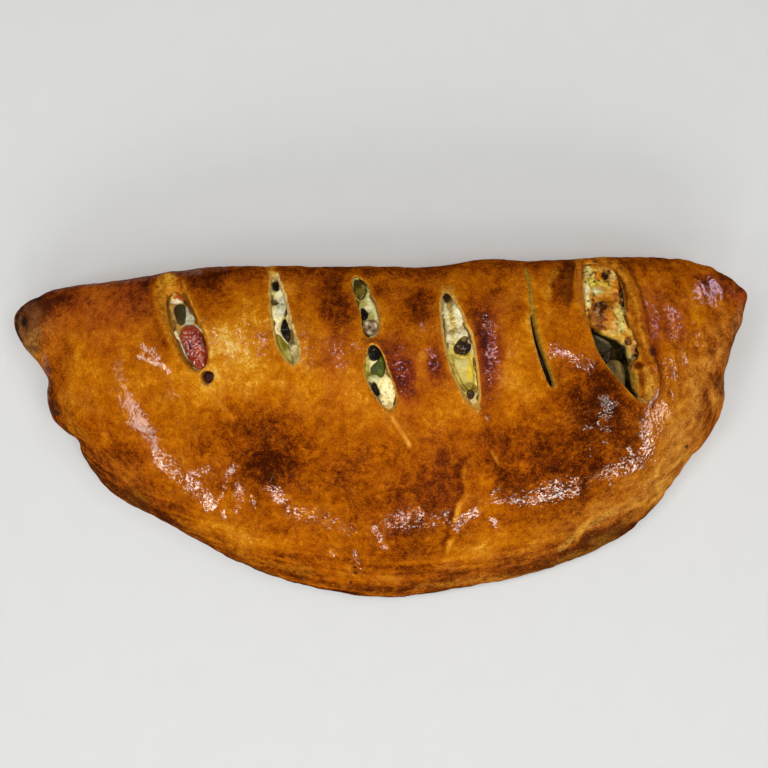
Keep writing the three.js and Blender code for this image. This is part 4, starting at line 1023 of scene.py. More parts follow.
    # painted shadow in the groove beside the overlap
    crease_shadow[i] = bell(side_of + 1.9, 1.1) * along
    scratch = np.zeros(len(D))
    for path, width, deep in SCRATCHES:
        line = on_top(path)
        i = near(line, plan, 8)
        i = i[roof[i]]
        s = deep * bell(distance(line, plan[i], closed=False), width * 0.45)
        scratch[i] = np.maximum(scratch[i], s)
        h[i] -= 0.35 * s
    # the loop of the table contact stays put
    on_loop = np.zeros(len(D), bool)
    on_loop[loops[0]] = True
    h[on_loop] = 0
    shell = base + normal * h[:, None]
    shell[:, 2] -= depth
    shell[:, 2] = np.maximum(shell[:, 2], 0)
    shell[loops[0], 2] = 0

    # ---- paint
    warp = np.stack([noise(base, 14, 21), noise(base, 14, 22)], 1) * 7 + np.stack([noise(base, 5, 23), noise(base, 5, 24)], 1) * 2.6
    uvw = uv + warp
    s_plan = f / rim
    toast = 0.565 + rows(uvw, BROWNING)
    # Darker towards the fold and along the front rim: browning there, and painted shade where the sides fall away.
    back = smooth(np.sin(phi) / 0.3)
    toast = toast + 0.24 * back * smooth((s_plan - 0.76) / 0.12)
    right_end = bell(wrap(phi - 2 * DEG), 26 * DEG)
    front = (1 - back) * (1 - 0.95 * right_end)
    toast = toast + 0.17 * front * smooth((s_plan - 0.66) / 0.22) + 0.28 * front * smooth((s_plan - 0.95) / 0.045)
    # the puckered right end: folds that run down it
    pucker = smooth((base[:, 0] - 112) / 18) * smooth((rim - f) / 0.05 + 0.4)
    streak = noise(np.c_[base[:, 0] + 0.30 * base[:, 1], 0.28 * base[:, 1], base[:, 2] * 0.3], 5.2, 84)
    toast = toast + pucker * (0.13 * streak + 0.08 * noise(base * [1, 0.4, 1], 2.2, 85))
    reach = by_phi(REACH, phi)
    arcs = noise(np.c_[s_plan * reach, 13.0 * phi, 0 * phi], 2.1, 86) + 0.7 * noise(np.c_[s_plan * reach, 20.0 * phi, 0 * phi], 4.6, 87)
    toast = toast + 0.17 * arcs * np.clip(front + 1.1 * right_end, 0, 1) * smooth((s_plan - 0.50) / 0.25)
    toast = toast + 0.06 * noise(base, 22, 31) + 0.075 * noise(base, 9, 32) + 0.07 * noise(base, 4, 33) + 0.04 * noise(base * [1, 0.6, 1], 2.2, 47)
    under = smooth((f - rim - 0.03) / 0.10)
    toast = toast * (1 - under) + under * (0.66 + 0.10 * noise(base, 16, 34) + 0.08 * smooth((f - 0.93) / 0.07))
    red = np.clip(rows(uvw, REDNESS_AND_SHEEN) - 0.65 * front * smooth((s_plan - 0.80) / 0.14) * 0.5, -1, 1.1) * (1 - under) + 0.15 * noise(base, 20, 35)
    matte = np.clip(rows(uvw, MATTE) + 0.25 * noise(base, 9, 36), 0, 1)
    matte = np.maximum(matte, under * 0.5)
    char = rows(uv + 0.4 * warp, CHAR)
    # thin burnt line along the tucked left edge
    left = bell(wrap(phi - 156 * DEG), 8 * DEG) * bell(s_plan - 0.972, 0.020)
    char = np.maximum(char, 0.75 * left + 0.35 * left * noise(base, 3, 37))
    # scattered dark specks and pores
    speck = smooth((noise(base, 2.3, 38) - 0.62) / 0.2) * smooth((noise(base, 18, 39) + 0.1) / 0.4)
    toast = toast + 0.16 * speck
    # tan flap at the left end
    flap = smooth((-149 - base[:, 0] + 2.5 * noise(base, 6, 48)) / 8) * roof
    toast = toast * (1 - 0.8 * flap) + 0.8 * flap * (0.60 + 0.12 * noise(base, 7, 40))
    # darker in the painted shadow beside the overlap, paler along its edge
    toast = toast + 0.16 * crease_shadow - 0.25 * crease_pale
    pale = np.zeros(len(D))
    # cut dough and lips
    rim_glow = bell(near_lip, 1.3) * roof
    for n, (amount, start) in enumerate([(0.30, 0.25), (0.85, 0.02), (0.35, 0.05), (0.55, 0.05), (0.75, 0.10), (0.45, 0.05), (0.30, 0.45), (0.25, 0.1)]):
        m = which == n
        ramp = smooth((cut - start) / 0.45)
        pale[m] = np.maximum(pale[m], (amount * ramp)[m])
        toast[m] -= (0.14 * rim_glow * (0 if n in (3,) else 1))[m]
    pale = np.maximum(pale, 0.50 * crease_pale)
    pale = np.maximum(pale, 0.60 * np.clip(scratch, 0, 1))
    pale = pale + 0.10 * noise(base, 2.5, 41) * (pale > 0.05)
    toast = np.clip(toast, 0.02, 0.99)
    dab = np.zeros((len(D), 3))
    dabbed = np.zeros(len(D))
    i = near(np.array([(8.0, 250.0), (764.0, 610.0)]), uv, 0)
    i = i[f[i] < rim[i] + 0.03]
    q = uv[i] + np.stack([noise(base[i], 2.6, 43), noise(base[i], 2.6, 44)], 1) * 0.9
    colour, share = dab[i], dabbed[i]
    marks = [(a, b, None, None, t, rgb, k, (cu, cv)) for cu, cv, a, b, t, rgb, k in DOUGH_DABS]
    marks = [(w, None, path, None, 0, rgb, k, None) for path, w, rgb, k in DOUGH_STROKES] + marks
    for a, b, path, _, t, rgb, amount, at in marks:
        if path is not None:
            r = distance(np.array(path, float), q, closed=False) / a
        else:
            c, sn = math.cos(t * DEG), math.sin(t * DEG)
            du, dv = q[:, 0] - at[0], q[:, 1] - at[1]
            r = np.sqrt(((du * c + dv * sn) / a) ** 2 + ((-du * sn + dv * c) / b) ** 2)
        k = amount * (1 - smooth((r - 0.55) / 0.75))
        if path is not None and a > 5:
            k = k * smooth((noise(base[i], 15, 49) + 0.35) / 0.5)
        colour = (colour * (share * (1 - k))[:, None] + np.array(rgb) * k[:, None]) / np.maximum(share * (1 - k) + k, 1e-6)[:, None]
        share = share * (1 - k) + k
    dab[i], dabbed[i] = colour, share
    glaze = np.zeros(len(D))
    q = uv[i] + np.stack([noise(base[i], 3.4, 45), noise(base[i], 3.4, 46)], 1) * 2.2
    for path, width, amount in GLAZE:
        r = distance(np.array(path, float), q, closed=False) / width
        glaze[i] = np.maximum(glaze[i], amount * (1 - smooth((r - 0.45) / 0.95)))

    # ---- inner side: walls of the slits, roof and floor of the hollow
    verts = [shell]
    tris = [tri]
    n_v = len(shell)
    low_phi = np.linspace(-PI, PI, 260, endpoint=False)
    in_edge = by_phi(MID, low_phi) + ((by_phi(REACH, low_phi) - inset_of(low_phi)))[:, None] * by_phi(DIR, low_phi)
    in_edge = ccw(resample(in_edge, 3.2))
    in_pts, in_loops, wall = [in_edge], [np.arange(len(in_edge))], []
    c = len(in_edge)
    for n, hole in enumerate(HOLES):
        q = hole + outward(hole) * (0.9, 0.9, 0.5, 0.5, 0.9, 0.9, 0.9, 0.3)[n]
        ph, dd = ray_of(q)
        most = (by_phi(REACH, ph) - inset_of(ph)) * 0.985
        pull = np.minimum(1, most / np.maximum(dd, 1e-6))
        q = by_phi(MID, ph) + (dd * pull)[:, None] * by_phi(DIR, ph)
        in_pts.append(q)
        in_loops.append(c + np.arange(len(q)))
        c += len(q)
    q = lattice(in_edge.min(0), in_edge.max(0), 4.6, 91)
    ok = inside(in_edge, q) & (distance(in_edge, q) > 1.8)
    for hole in HOLES:
        ok &= ~inside(hole, q) & (distance(hole, q) > 2.4)
    in_pts.append(q[ok])
    P = np.vstack(in_pts)
    roof_tri = triangulate(P, in_loops)
    for n, loop in enumerate(in_loops):
        roof_tri = cut_out(roof_tri, P, loop, keep_inside=(n == 0))
    z_in, _ = hollow_top(P)
    inner = np.c_[P, z_in]
    verts.append(inner)
    tris.append(roof_tri[:, ::-1] + n_v)
    base_in = n_v
    n_v += len(inner)
    # floor of the hollow
    low_edge = drawn_in(in_edge)
    extra = lattice(low_edge.min(0), low_edge.max(0), 9, 92)
    extra = extra[inside(low_edge, extra) & (distance(low_edge, extra) > 3)]
    F = np.vstack([low_edge, extra])
    floor_tri = cut_out(triangulate(F, [np.arange(len(low_edge))]), F, np.arange(len(low_edge)), keep_inside=True)
    verts.append(np.c_[F, np.full(len(F), FLOOR)])
    tris.append(floor_tri + n_v)
    tris.append(strip(np.arange(len(in_edge)) + base_in, np.arange(len(in_edge)) + n_v)[:, ::-1])
    n_v += len(F)
    # walls of the slits
    for n, hole in enumerate(HOLES):
        top = loops[n + 1]
        low = in_loops[n + 1] + base_in
        a, b = shell[top], inner[in_loops[n + 1]]
        prev = top
        for t in (0.3, 0.65):
            r = a * (1 - t) + b * t
            r = r + np.c_[outward(hole) * 0.15, np.zeros(len(hole))]
            verts.append(r)
            ring_i = n_v + np.arange(len(r))
            tris.append(strip(prev, ring_i)[:, ::-1])
            prev = ring_i
            n_v += len(r)
        tris.append(strip(prev, low)[:, ::-1])
    # table contact
    edge_plan = shell[loops[0], :2]
    extra = lattice(edge_plan.min(0), edge_plan.max(0), 5, 93)
    extra = extra[inside(edge_plan, extra) & (distance(edge_plan, extra) > 2)]
    B = np.vstack([edge_plan, extra])
    under_tri = triangulate(B, [np.arange(len(edge_plan))])
    under_tri = cut_out(under_tri, B, np.arange(len(edge_plan)), keep_inside=True)
    index = np.concatenate([loops[0], n_v + np.arange(len(extra))])
    verts.append(np.c_[extra, np.zeros(len(extra))])
    tris.append(index[under_tri][:, ::-1])
    n_v += len(extra)

    V, T = np.vstack(verts), np.vstack(tris)
    more = n_v - len(shell)
    full = lambda a, rest: np.concatenate([a, np.full(more, rest)])
    toast_all = full(toast, 0.45)
    rest = V[len(shell):]
    toast_all[len(shell):] = 0.55 + 0.12 * noise(rest, 14, 51) + 0.08 * noise(rest, 5, 52)
    pale_all = full(pale, 0.55)
    pale_all[-len(extra):] = 0.0
    return make_object("crust_skin", V, T, crust_material(), dict(
        toast=toast_all, rugged=full(np.clip(0.42 + rows(uvw, RUGGED) + 0.7 * bell(near_lip, 1.6) * roof, 0, 1.9), 1.0), red=full(red, -0.2), matte=full(matte, 0.8), char=full(char, 0.0), pale=pale_all, dabbed=full(dabbed, 0.0), glaze=full(glaze, 0.0)),
        np.vstack([dab, np.zeros((more, 3))]))


# ------------------------------------------------------------------ cheese

CREAM, IVORY, GREENISH = (0.78, 0.66, 0.34), (0.84, 0.78, 0.52), (0.52, 0.50, 0.20)
BUTTER, STRAW, OLIVE_OIL = (0.78, 0.54, 0.11), (0.66, 0.40, 0.08), (0.34, 0.26, 0.025)
TOASTED, BROWNED, BURNT = (0.36, 0.11, 0.018), (0.16, 0.042, 0.010), (0.035, 0.016, 0.008)
# the second colour on the next line is painted shade, for the holes and gaps in the cheese
GREY, HOLE_SHADE, ORANGE = (0.50, 0.49, 0.33), (0.022, 0.015, 0.007), (0.60, 0.19, 0.018)
SHADE, UMBER = (0.055, 0.040, 0.013), (0.13, 0.075, 0.022)
# Dabs on the cheese: place, half sizes, turn, colour, strength. The near-black dabs in the dents of CURDS and in the
# gaps to the dough are painted shade.
DABS = [
    # slit 1
    (178, 320, 30, 55, 0, (0.46, 0.26, 0.065), 1.0), (177, 296.5, 6.5, 5.5, 0, (0.50, 0.11, 0.012), 0.95), (173.5, 294.5, 2.4, 2.4, 0, BUTTER, 0.8),
    (180.5, 293, 2, 2, 0, ORANGE, 0.9), (171, 299.5, 2.6, 3, 0, BUTTER, 0.9), (177, 301.5, 6, 2.2, 4, IVORY, 0.8), (189, 317, 6, 8.5, 0, GREY, 0.95),
    (169.5, 312, 1.8, 8, -8, STRAW, 0.8), (167.5, 320, 1.0, 8, -14, BURNT, 0.8), (172, 326, 2, 7, -14, BUTTER, 0.8), (177, 338, 2.4, 7, -20, IVORY, 0.9),
    (184, 353, 2.8, 9, -24, IVORY, 0.95), (188, 305.5, 2.2, 9, -28, BROWNED, 0.85), (198, 329, 3.2, 4, 0, IVORY, 0.8), (203, 340, 1.2, 8, -18, BROWNED, 0.7),
    # slit 2
    (284, 320, 26, 60, 0, (0.80, 0.70, 0.36), 1.0), (275.5, 286, 4, 5, 0, HOLE_SHADE, 0.9), (273, 293.5, 2.8, 3.2, 0, (0.50, 0.48, 0.16), 0.9),
    (279.5, 294.5, 3, 3.4, 0, IVORY, 0.9), (274.5, 302.3, 5, 2.8, 0, (0.13, 0.10, 0.02), 0.9), (283, 306, 5, 8, 0, GREY, 0.9),
    (281, 301.5, 3.2, 2.2, 20, (0.72, 0.70, 0.52), 0.8), (286.6, 311, 1.2, 6, 15, HOLE_SHADE, 0.8), (281, 304.5, 4, 0.8, 20, HOLE_SHADE, 0.5),
    (275, 321, 5.5, 13, -8, (0.90, 0.80, 0.46), 1.0), (279, 313, 4, 4, 0, (0.66, 0.64, 0.44), 0.7), (292, 337, 4.6, 8, -14, (0.17, 0.105, 0.010), 0.95),
    (289.5, 346, 2, 3, 0, BURNT, 0.6), (296.5, 343, 1.3, 9, -12, IVORY, 0.8),
    # slit 3
    (364, 305, 22, 40, 0, (0.42, 0.38, 0.12), 1.0), (371, 303, 4.5, 9, -20, (0.60, 0.57, 0.28), 0.95), (368, 309, 2.6, 2.4, 0, IVORY, 0.8),
    (376, 318, 2.2, 9, -5, (0.72, 0.66, 0.36), 0.85), (363, 303, 2.6, 2.4, 0, (0.55, 0.48, 0.10), 0.8), (371, 328, 8, 8, 0, (0.30, 0.20, 0.09), 0.9),
    (366, 336, 4, 2.6, 0, HOLE_SHADE, 0.85), (356.5, 299, 1.3, 7, -16, (0.50, 0.34, 0.07), 0.8), (361, 323, 1.3, 8, 0, BURNT, 0.7),
    # slit 4
    (383, 380, 18, 40, 0, (0.78, 0.68, 0.34), 1.0), (376, 350, 9, 7, 0, HOLE_SHADE, 0.95), (366.3, 371, 2.6, 8, 0, (0.40, 0.34, 0.045), 0.95),
    (366.8, 358.5, 2.2, 5, 0, (0.66, 0.54, 0.18), 0.9), (370, 376, 4.5, 4, 0, (0.30, 0.27, 0.035), 0.85), (384, 392, 10.5, 14, -20, (0.91, 0.80, 0.42), 1.0),
    (374, 379, 5, 3.2, 20, (0.62, 0.60, 0.32), 0.9), (375.6, 390, 3, 7, -22, HOLE_SHADE, 0.97), (371, 386, 1.4, 4.5, -22, HOLE_SHADE, 0.7),
    (386, 393, 0.9, 0.9, 0, BURNT, 0.8), (389.5, 398, 0.8, 0.8, 0, BURNT, 0.8), (383, 401, 0.9, 0.9, 0, BURNT, 0.7), (389, 387, 0.8, 0.8, 0, BROWNED, 0.7),
    (390, 408, 3, 1.8, 0, STRAW, 0.7),
    # slit 5
    (455, 325, 18, 45, 0, (0.76, 0.70, 0.42), 1.0), (447.5, 297, 4.6, 4.4, 0, (0.075, 0.050, 0.018), 0.97), (450.8, 302.5, 4, 4, 0, (0.34, 0.28, 0.13), 0.7),
    (452, 319, 2.2, 17, -6, (0.72, 0.54, 0.10), 0.8), (459, 313, 3.8, 10, -15, (0.82, 0.78, 0.54), 0.9), (446.5, 318, 1.6, 14, -3, (0.66, 0.62, 0.34), 0.7),
    (443.6, 326, 0.9, 3.4, -6, HOLE_SHADE, 0.9), (442.6, 317, 0.8, 3, 0, HOLE_SHADE, 0.8), (446.4, 345, 2.0, 8, -9, (0.36, 0.31, 0.05), 0.85),
    (466, 331, 4.6, 3.6, 10, (0.56, 0.52, 0.34), 0.9), (460, 335.5, 3, 2.6, 0, IVORY, 0.9), (471, 339, 2.6, 6, -8, (0.56, 0.44, 0.22), 0.85),
    (463, 370, 13, 26, -12, (0.66, 0.52, 0.08), 0.95), (477, 367, 1.1, 15, -5, HOLE_SHADE, 0.95), (470, 388, 9, 4.6, 10, (0.26, 0.175, 0.012), 0.95),
    (476, 402, 4, 5, 0, (0.80, 0.62, 0.26), 0.9), (453.5, 372, 1.4, 10, -22, (0.22, 0.15, 0.02), 0.8),
    # slit 6: painted shade, the cheese under this narrow slit is near black
    (541, 348, 26, 60, 0, (0.020, 0.014, 0.005), 1.0),
    # slit 7
    (605, 300, 40, 50, 0, (0.78, 0.53, 0.16), 1.0), (590, 264, 8, 3, 20, (0.66, 0.36, 0.045), 0.9), (602, 264, 16, 3, 6, ORANGE, 0.7),
    (588, 272, 4.5, 6, -20, (0.80, 0.74, 0.46), 0.9), (593.5, 281, 5, 4, 0, (0.55, 0.50, 0.15), 0.85), (597, 275, 5.6, 3.8, 0, (0.68, 0.32, 0.020), 0.95),
    (605.0, 275.6, 3.0, 4.2, -20, (0.075, 0.022, 0.007), 0.97), (617, 282.4, 2.8, 4.6, -20, (0.34, 0.10, 0.014), 0.85),
    (591.6, 274, 3.2, 4, -20, (0.90, 0.80, 0.44), 0.9), (592.4, 282.6, 3.6, 3.6, 0, (0.90, 0.80, 0.26), 0.9), (600, 283, 4, 2.4, 0, (0.82, 0.64, 0.14), 0.85), (610, 272, 2.0, 2.6, 0, BROWNED, 0.85), (612.8, 277, 3.6, 3.8, 0, (0.90, 0.74, 0.42), 0.95),
    (617, 275, 1.8, 3, -20, TOASTED, 0.85), (598.5, 292, 6.5, 6, 0, (0.62, 0.57, 0.34), 0.95), (597.5, 290, 3.6, 3, 0, (0.86, 0.82, 0.66), 0.85),
    (611, 286, 5.4, 4.4, 20, (0.68, 0.46, 0.12), 0.9), (616.6, 290, 4.6, 8, 0, (0.66, 0.31, 0.035), 0.85), (586.6, 292, 2.6, 11, -3, (0.84, 0.80, 0.60), 0.97),
    (588.6, 303, 3.0, 7, -12, (0.90, 0.82, 0.54), 0.95), (585.2, 283, 1.0, 2, 0, BURNT, 0.85), (585.8, 290.5, 1.0, 1.6, 0, BURNT, 0.85),
    (592, 300, 1.4, 1.3, 0, BURNT, 0.7), (589, 311, 1.3, 1.6, 0, BURNT, 0.8), (604, 298.5, 10, 2.8, 12, (0.62, 0.30, 0.04), 0.9),
    (603, 312, 12, 10, 15, (0.26, 0.070, 0.013), 0.97), (598, 308, 5, 4, 0, (0.22, 0.085, 0.020), 0.8), (608, 304.5, 6, 3.4, 0, (0.19, 0.080, 0.020), 0.8),
    (600, 318.5, 6, 4, 0, (0.36, 0.10, 0.014), 0.8), (607, 313, 2.6, 2.4, 0, (0.34, 0.10, 0.014), 0.7), (600.5, 310, 9, 8, 10, (0.16, 0.046, 0.010), 0.88), (595.6, 312, 3, 5, 0, (0.34, 0.14, 0.022), 0.7),
    (604, 304, 4, 2.6, 0, (0.10, 0.046, 0.014), 0.8), (608.6, 306, 5.2, 4.8, 0, (0.13, 0.046, 0.012), 0.9), (592.6, 315, 4, 6, 0, (0.26, 0.085, 0.016), 0.8), (608, 314, 3.6, 4, 0, (0.36, 0.15, 0.030), 0.8),
    (600, 321.6, 6, 4, 20, (0.30, 0.11, 0.022), 0.8), (597, 328, 5, 3, 35, (0.30, 0.11, 0.016), 0.8), (616.8, 304.5, 3.6, 5.6, -10, (0.50, 0.22, 0.014), 0.85),
    (616.8, 296.6, 3.4, 4, 0, (0.36, 0.13, 0.012), 0.85), (616, 317, 4.2, 6, 0, (0.60, 0.39, 0.09), 0.7), (597, 304.5, 1.6, 1.4, 0, BURNT, 0.8), (602.6, 303.6, 2.2, 1.3, 0, BURNT, 0.85),
    (607.6, 306.4, 1.6, 1.6, 0, BURNT, 0.8), (595, 311, 1.3, 2.2, 0, BURNT, 0.7), (602, 310, 1.2, 1.2, 0, BURNT, 0.7), (609, 297.5, 3, 1.4, 20, (0.66, 0.34, 0.03), 0.9), (613, 317, 4.6, 6, 0, (0.60, 0.30, 0.05), 0.9),
    (610, 326, 7, 4, 25, (0.60, 0.32, 0.060), 0.8), (602, 327, 5, 2.6, 35, (0.34, 0.12, 0.02), 0.85), (620, 312, 4.6, 9, -20, (0.76, 0.64, 0.32), 0.95),
    (618, 328.5, 7, 6.6, 0, (0.70, 0.64, 0.36), 0.95), (615, 326, 2, 1.6, 0, (0.80, 0.76, 0.58), 0.9), (620.5, 331, 2, 1.6, 0, (0.80, 0.76, 0.58), 0.9),
    (617, 323.6, 1.6, 1.2, 0, SHADE, 0.6), (622, 337, 7, 3.4, 30, (0.66, 0.46, 0.14), 0.95), (622.0, 295, 2.6, 13, -8, (0.10, 0.034, 0.010), 0.95),
    (627.2, 319, 2.4, 8, -16, (0.13, 0.040, 0.011), 0.92), (621.4, 300, 1.0, 1.2, 0, IVORY, 0.7), (625.6, 313.6, 1.2, 1.0, 0, (0.66, 0.44, 0.14), 0.8), (624, 305, 1.6, 2, 0, BURNT, 0.8), (628, 341, 3.7, 4.4, 0, (0.12, 0.028, 0.008), 0.97), (634, 342, 2.6, 2.8, 0, (0.74, 0.52, 0.22), 0.9),
    (636, 351, 4, 7, -10, (0.50, 0.27, 0.07), 0.9), (637.4, 350, 2.8, 3.4, 0, BURNT, 0.95), (635, 357, 3.4, 3, 0, BURNT, 0.95), (632, 364, 3.4, 5, 0, (0.22, 0.08, 0.012), 0.85), (633, 347.5, 1.4, 1.6, 0, BURNT, 0.8),
]
# Bumps of the cheese: place, half sizes, turn, height in mm
CURDS = [
    (598.5, 292, 6, 5.6, 0, 1.3), (603, 311.5, 10, 8, 15, 1.7), (618, 327, 7, 6, 0, 1.2), (605.4, 276.5, 3, 4, -20, -2.4), (586.6, 292, 2.4, 10, -3, 1.0),
    (588.4, 304, 2.2, 5, -12, 0.9), (592.4, 303, 1.2, 8, -6, -1.0), (612.8, 277, 3.4, 3.4, 0, 1.0), (597, 275, 5, 3.4, 0, 0.5), (622.2, 296, 2.0, 13, -8, -2.2),
    (627.6, 318, 1.8, 8, -16, -2.0), (628, 341, 2.4, 3, 0, -1.6), (634, 343, 2.6, 2.6, 0, 1.0), (636, 351, 3.4, 6, -10, 1.0), (637.6, 350, 1.5, 2.2, 0, -1.4),
    (622, 337, 7, 2.4, 30, 0.6), (610, 299, 8, 1.6, 12, -0.7), (447.5, 297, 4, 3.6, 0, -3.2), (466, 331, 4, 3.2, 10, 1.2), (459, 313, 3.4, 10, -15, 0.9),
    (452, 319, 1.4, 16, -6, -0.4), (446.5, 320, 1.8, 14, -4, 0.5), (477, 367, 0.9, 15, -5, -2.2), (443.4, 322, 0.8, 7, -3, -1.2), (375, 350, 9, 6, 0, -1.5),
    (375.6, 390, 2.4, 6.4, -22, -2.8), (386, 393, 8, 12, -20, 0.9), (374, 379, 4.4, 2.6, 20, 0.8), (366.5, 370, 1.8, 7, 0, 0.4), (283, 305, 4, 6, 0, 0.9),
    (275, 320, 4, 11, -8, 0.9), (275.5, 286, 3.2, 4, 0, -2.2), (286.6, 311, 1.0, 6, 15, -1.6), (273, 293.5, 2.4, 2.6, 0, 0.9), (190, 317, 4.6, 7, 0, 1.0),
    (177, 296.5, 5.6, 4.6, 0, 1.3), (167.4, 318, 0.9, 9, -12, -1.4), (177, 338, 2, 7, -20, 0.8), (184, 353, 2.2, 8, -24, 0.9), (188.4, 304, 1.4, 8, -28, -1.5),
    (371, 303, 4, 8, -20, 0.9), (376, 318, 1.8, 8, -5, 0.8), (366, 336, 3.4, 2, 0, -1.2), (361, 322, 1.0, 7, 0, -1.2), (387, 366, 1.0, 6, -12, -1.0),
]
# The hollow under the widest slit
CAVITY = [(589, 320), (596, 327.6), (605, 332.6), (615, 337.2), (622.4, 339.8), (628.4, 344), (630.6, 351), (632, 361), (636, 380), (644, 402), (630, 402), (612, 385),
          (598, 366), (588, 345)]


def paint(p, uv, start, dabs, seed=0, wobble=2.0, detail=2.4, soft=0.45):
    warp = np.stack([noise(p, detail, seed), noise(p, detail, seed + 1)], 1) * wobble
    warp = warp + np.stack([noise(p, detail * 0.4, seed + 2), noise(p, detail * 0.4, seed + 3)], 1) * wobble * 0.45
    q = uv + warp
    col = np.tile(np.array(start, float), (len(p), 1))
    for cu, cv, a, b, turn, rgb, amount in dabs:
        c, s = math.cos(turn * DEG), math.sin(turn * DEG)
        du, dv = q[:, 0] - cu, q[:, 1] - cv
        r = np.sqrt(((du * c + dv * s) / a) ** 2 + ((-du * s + dv * c) / b) ** 2)
        k = (amount * (1 - smooth((r - 0.88) / soft)))[:, None]
        col = col * (1 - k) + np.array(rgb) * k
    return col


def build_cheese():
    phi = np.linspace(-PI, PI, 400, endpoint=False)
    edge = by_phi(MID, phi) + ((by_phi(REACH, phi) - inset_of(phi) - 0.45))[:, None] * by_phi(DIR, phi)
    edge = ccw(resample(edge, 3.4))
    pts = [edge]
    for n, hole in enumerate(HOLES):
        lo, hi = hole.min(0) - 1, hole.max(0) + 1
        q = lattice(lo, hi, 0.40 if n < 7 else 0.7, 60 + n)
        q = q[inside(hole, q) | (distance(hole, q) < 0.8)]
        pts.append(q)
    q = lattice(edge.min(0), edge.max(0), 3.8, 70)
    ok = inside(edge, q) & (distance(edge, q) > 1.6)
    for hole in HOLES:
        ok &= ~inside(hole, q) & (distance(hole, q) > 2.2)
    pts.append(q[ok])
    P = np.vstack(pts)
    sin = hollow_top(P, 0.4)[1]
    P = np.vstack([P[:len(edge)], P[len(edge):][sin[len(edge):] < 0.992]])
    tri = cut_out(triangulate(P, [np.arange(len(edge))]), P, np.arange(len(edge)), keep_inside=True)
    z_roof, _ = hollow_top(P, 0.4)
    z_top, s_top, _ = top_at(P)
    z = z_roof.copy()
    shown = np.zeros(len(P))
    for n, hole in enumerate(HOLES):
        i = near(hole, P, 1.5)
        d = distance(hole, P[i]) * np.where(inside(hole, P[i]), 1, -1)
        below = CHEESE_BELOW[n] if n < 7 else 4.0
        rise = smooth((d + 0.5) / 1.5)
        want = z_top[i] - below
        if n not in (5, 7):
            # in places it clings to the cut dough, elsewhere it has shrunk from it
            cling = smooth((noise(np.c_[P[i], np.full(len(i), 9.0 * n)], 5.5, 68) + CLING[n]) / 0.25)
            want = want + cling * bell(d, 1.1) * max(0.0, below - EDGE_DEPTH[n] - 0.15) - (1 - cling) * bell(d, 0.7) * 1.1
            rise = np.maximum(rise, cling * smooth((d + 0.6) / 0.6))
        z[i] = np.where(d > -0.6, z[i] * (1 - rise) + np.maximum(want, z[i] - 1.5) * rise, z[i])
        shown[i] = np.maximum(shown[i], smooth((d + 0.5) / 0.9))
    p3 = np.c_[P, z]
    uv = picture(p3)
    shown = shown * (1 - inside(HOLES[5], P)) * (1 - inside(HOLES[7], P))
    blister = np.abs(noise(p3, 2.4, 62))
    baked = 1 + 0.25 * inside(LIPS[6], P)
    lumpy = shown * baked * (0.50 * noise(p3, 5.0, 61) + 0.75 * blister + 0.40 * np.abs(noise(p3, 1.15, 63)) - 0.28)
    pin = shown * smooth((noise(p3, 1.7, 64) - 0.55) / 0.2)
    knobs = shown * rows(uv, CURDS, 1.5)
    z = z + lumpy - 0.7 * pin + knobs
    # each piece lies in a dent of its own
    for shape, below, fall in [(r[1], r[2], r[3]) for r in PIECES.values()] + [(r[0], r[1], r[2]) for t in BITS.values() for r in t]:
        loop = resample(ccw(rounded(on_top(shape), 3)), 0.5)
        i = near(loop, P, 0)
        i = i[inside(loop, P[i])]
        dent = smooth(distance(loop, P[i]) / 0.5)
        z[i] = z[i] * (1 - dent) + np.minimum(z[i], z_top[i] - below - fall - 0.4) * dent
    # the hollow under the widest slit
    rim = ccw(resample(rounded(on_top(CAVITY)), 0.8))
    rim = rim + outward(rim) * (0.5 * noise(np.c_[rim, np.full(len(rim), 5.0)], 3.2, 65))[:, None]
    ins = inside(rim, P)
    d = np.where(ins, distance(rim, P), 0)
    z = np.where(ins, np.minimum(z, z_top - 3.4 - 8.5 * smooth(d / 3.2) + 0.9 * noise(p3, 3.0, 66)), z)
    dark = smooth(d / 0.9)
    p3 = np.c_[P, z]
    uv = picture(p3)
    col = paint(p3, uv, CREAM, DABS, 71, wobble=1.3)
    toasted = inside(LIPS[6], P) * 1.0
    for size, seed, start, soft, strength, rgb in ((4.2, 81, 0.10, 0.30, 0.50, (0.66, 0.30, 0.030)), (2.6, 83, 0.34, 0.25, 0.22, (0.90, 0.80, 0.44)),
                                                   (1.7, 82, 0.44, 0.14, 0.80, (0.14, 0.045, 0.010))):
        k = (smooth((noise(p3, size, seed) - start) / soft) * strength * toasted)[:, None]
        col = col * (1 - k) + k * np.array(rgb)
    # the pocket floor is painted in the shade colour with umber and near-black dabs: painted shade of the deep hollow
    # over its dark filling
    pocket_shade_colour = paint(p3, uv, SHADE, [(606, 352, 14, 9, 20, UMBER, 0.6), (618, 374, 9, 9, 0, (0.20, 0.14, 0.03), 0.7), (600, 345, 5, 7, 0, HOLE_SHADE, 0.8),
                                       (626, 357, 4, 8, 0, HOLE_SHADE, 0.7), (602, 357, 4, 3, 20, (0.012, 0.010, 0.006), 0.7)], 75)
    col = col * (1 - dark[:, None]) + pocket_shade_colour * dark[:, None]
    calmer = (1 - 0.6 * toasted)[:, None]
    crack = smooth((0.06 - blister) / 0.05)[:, None] * 0.32 * calmer
    col = col * (1 - crack) + crack * col * [0.55, 0.40, 0.22]
    tiny = smooth((noise(p3, 1.2, 67) - 0.42) / 0.2)[:, None] * 0.5 * calmer
    col = col * (1 - tiny) + tiny * col * [0.66, 0.48, 0.28]
    tan = (smooth((noise(p3, 3.6, 69) - 0.05) / 0.5) * 0.35)[:, None]
    col = col * (1 - tan) + tan * col * [0.93, 0.80, 0.50]
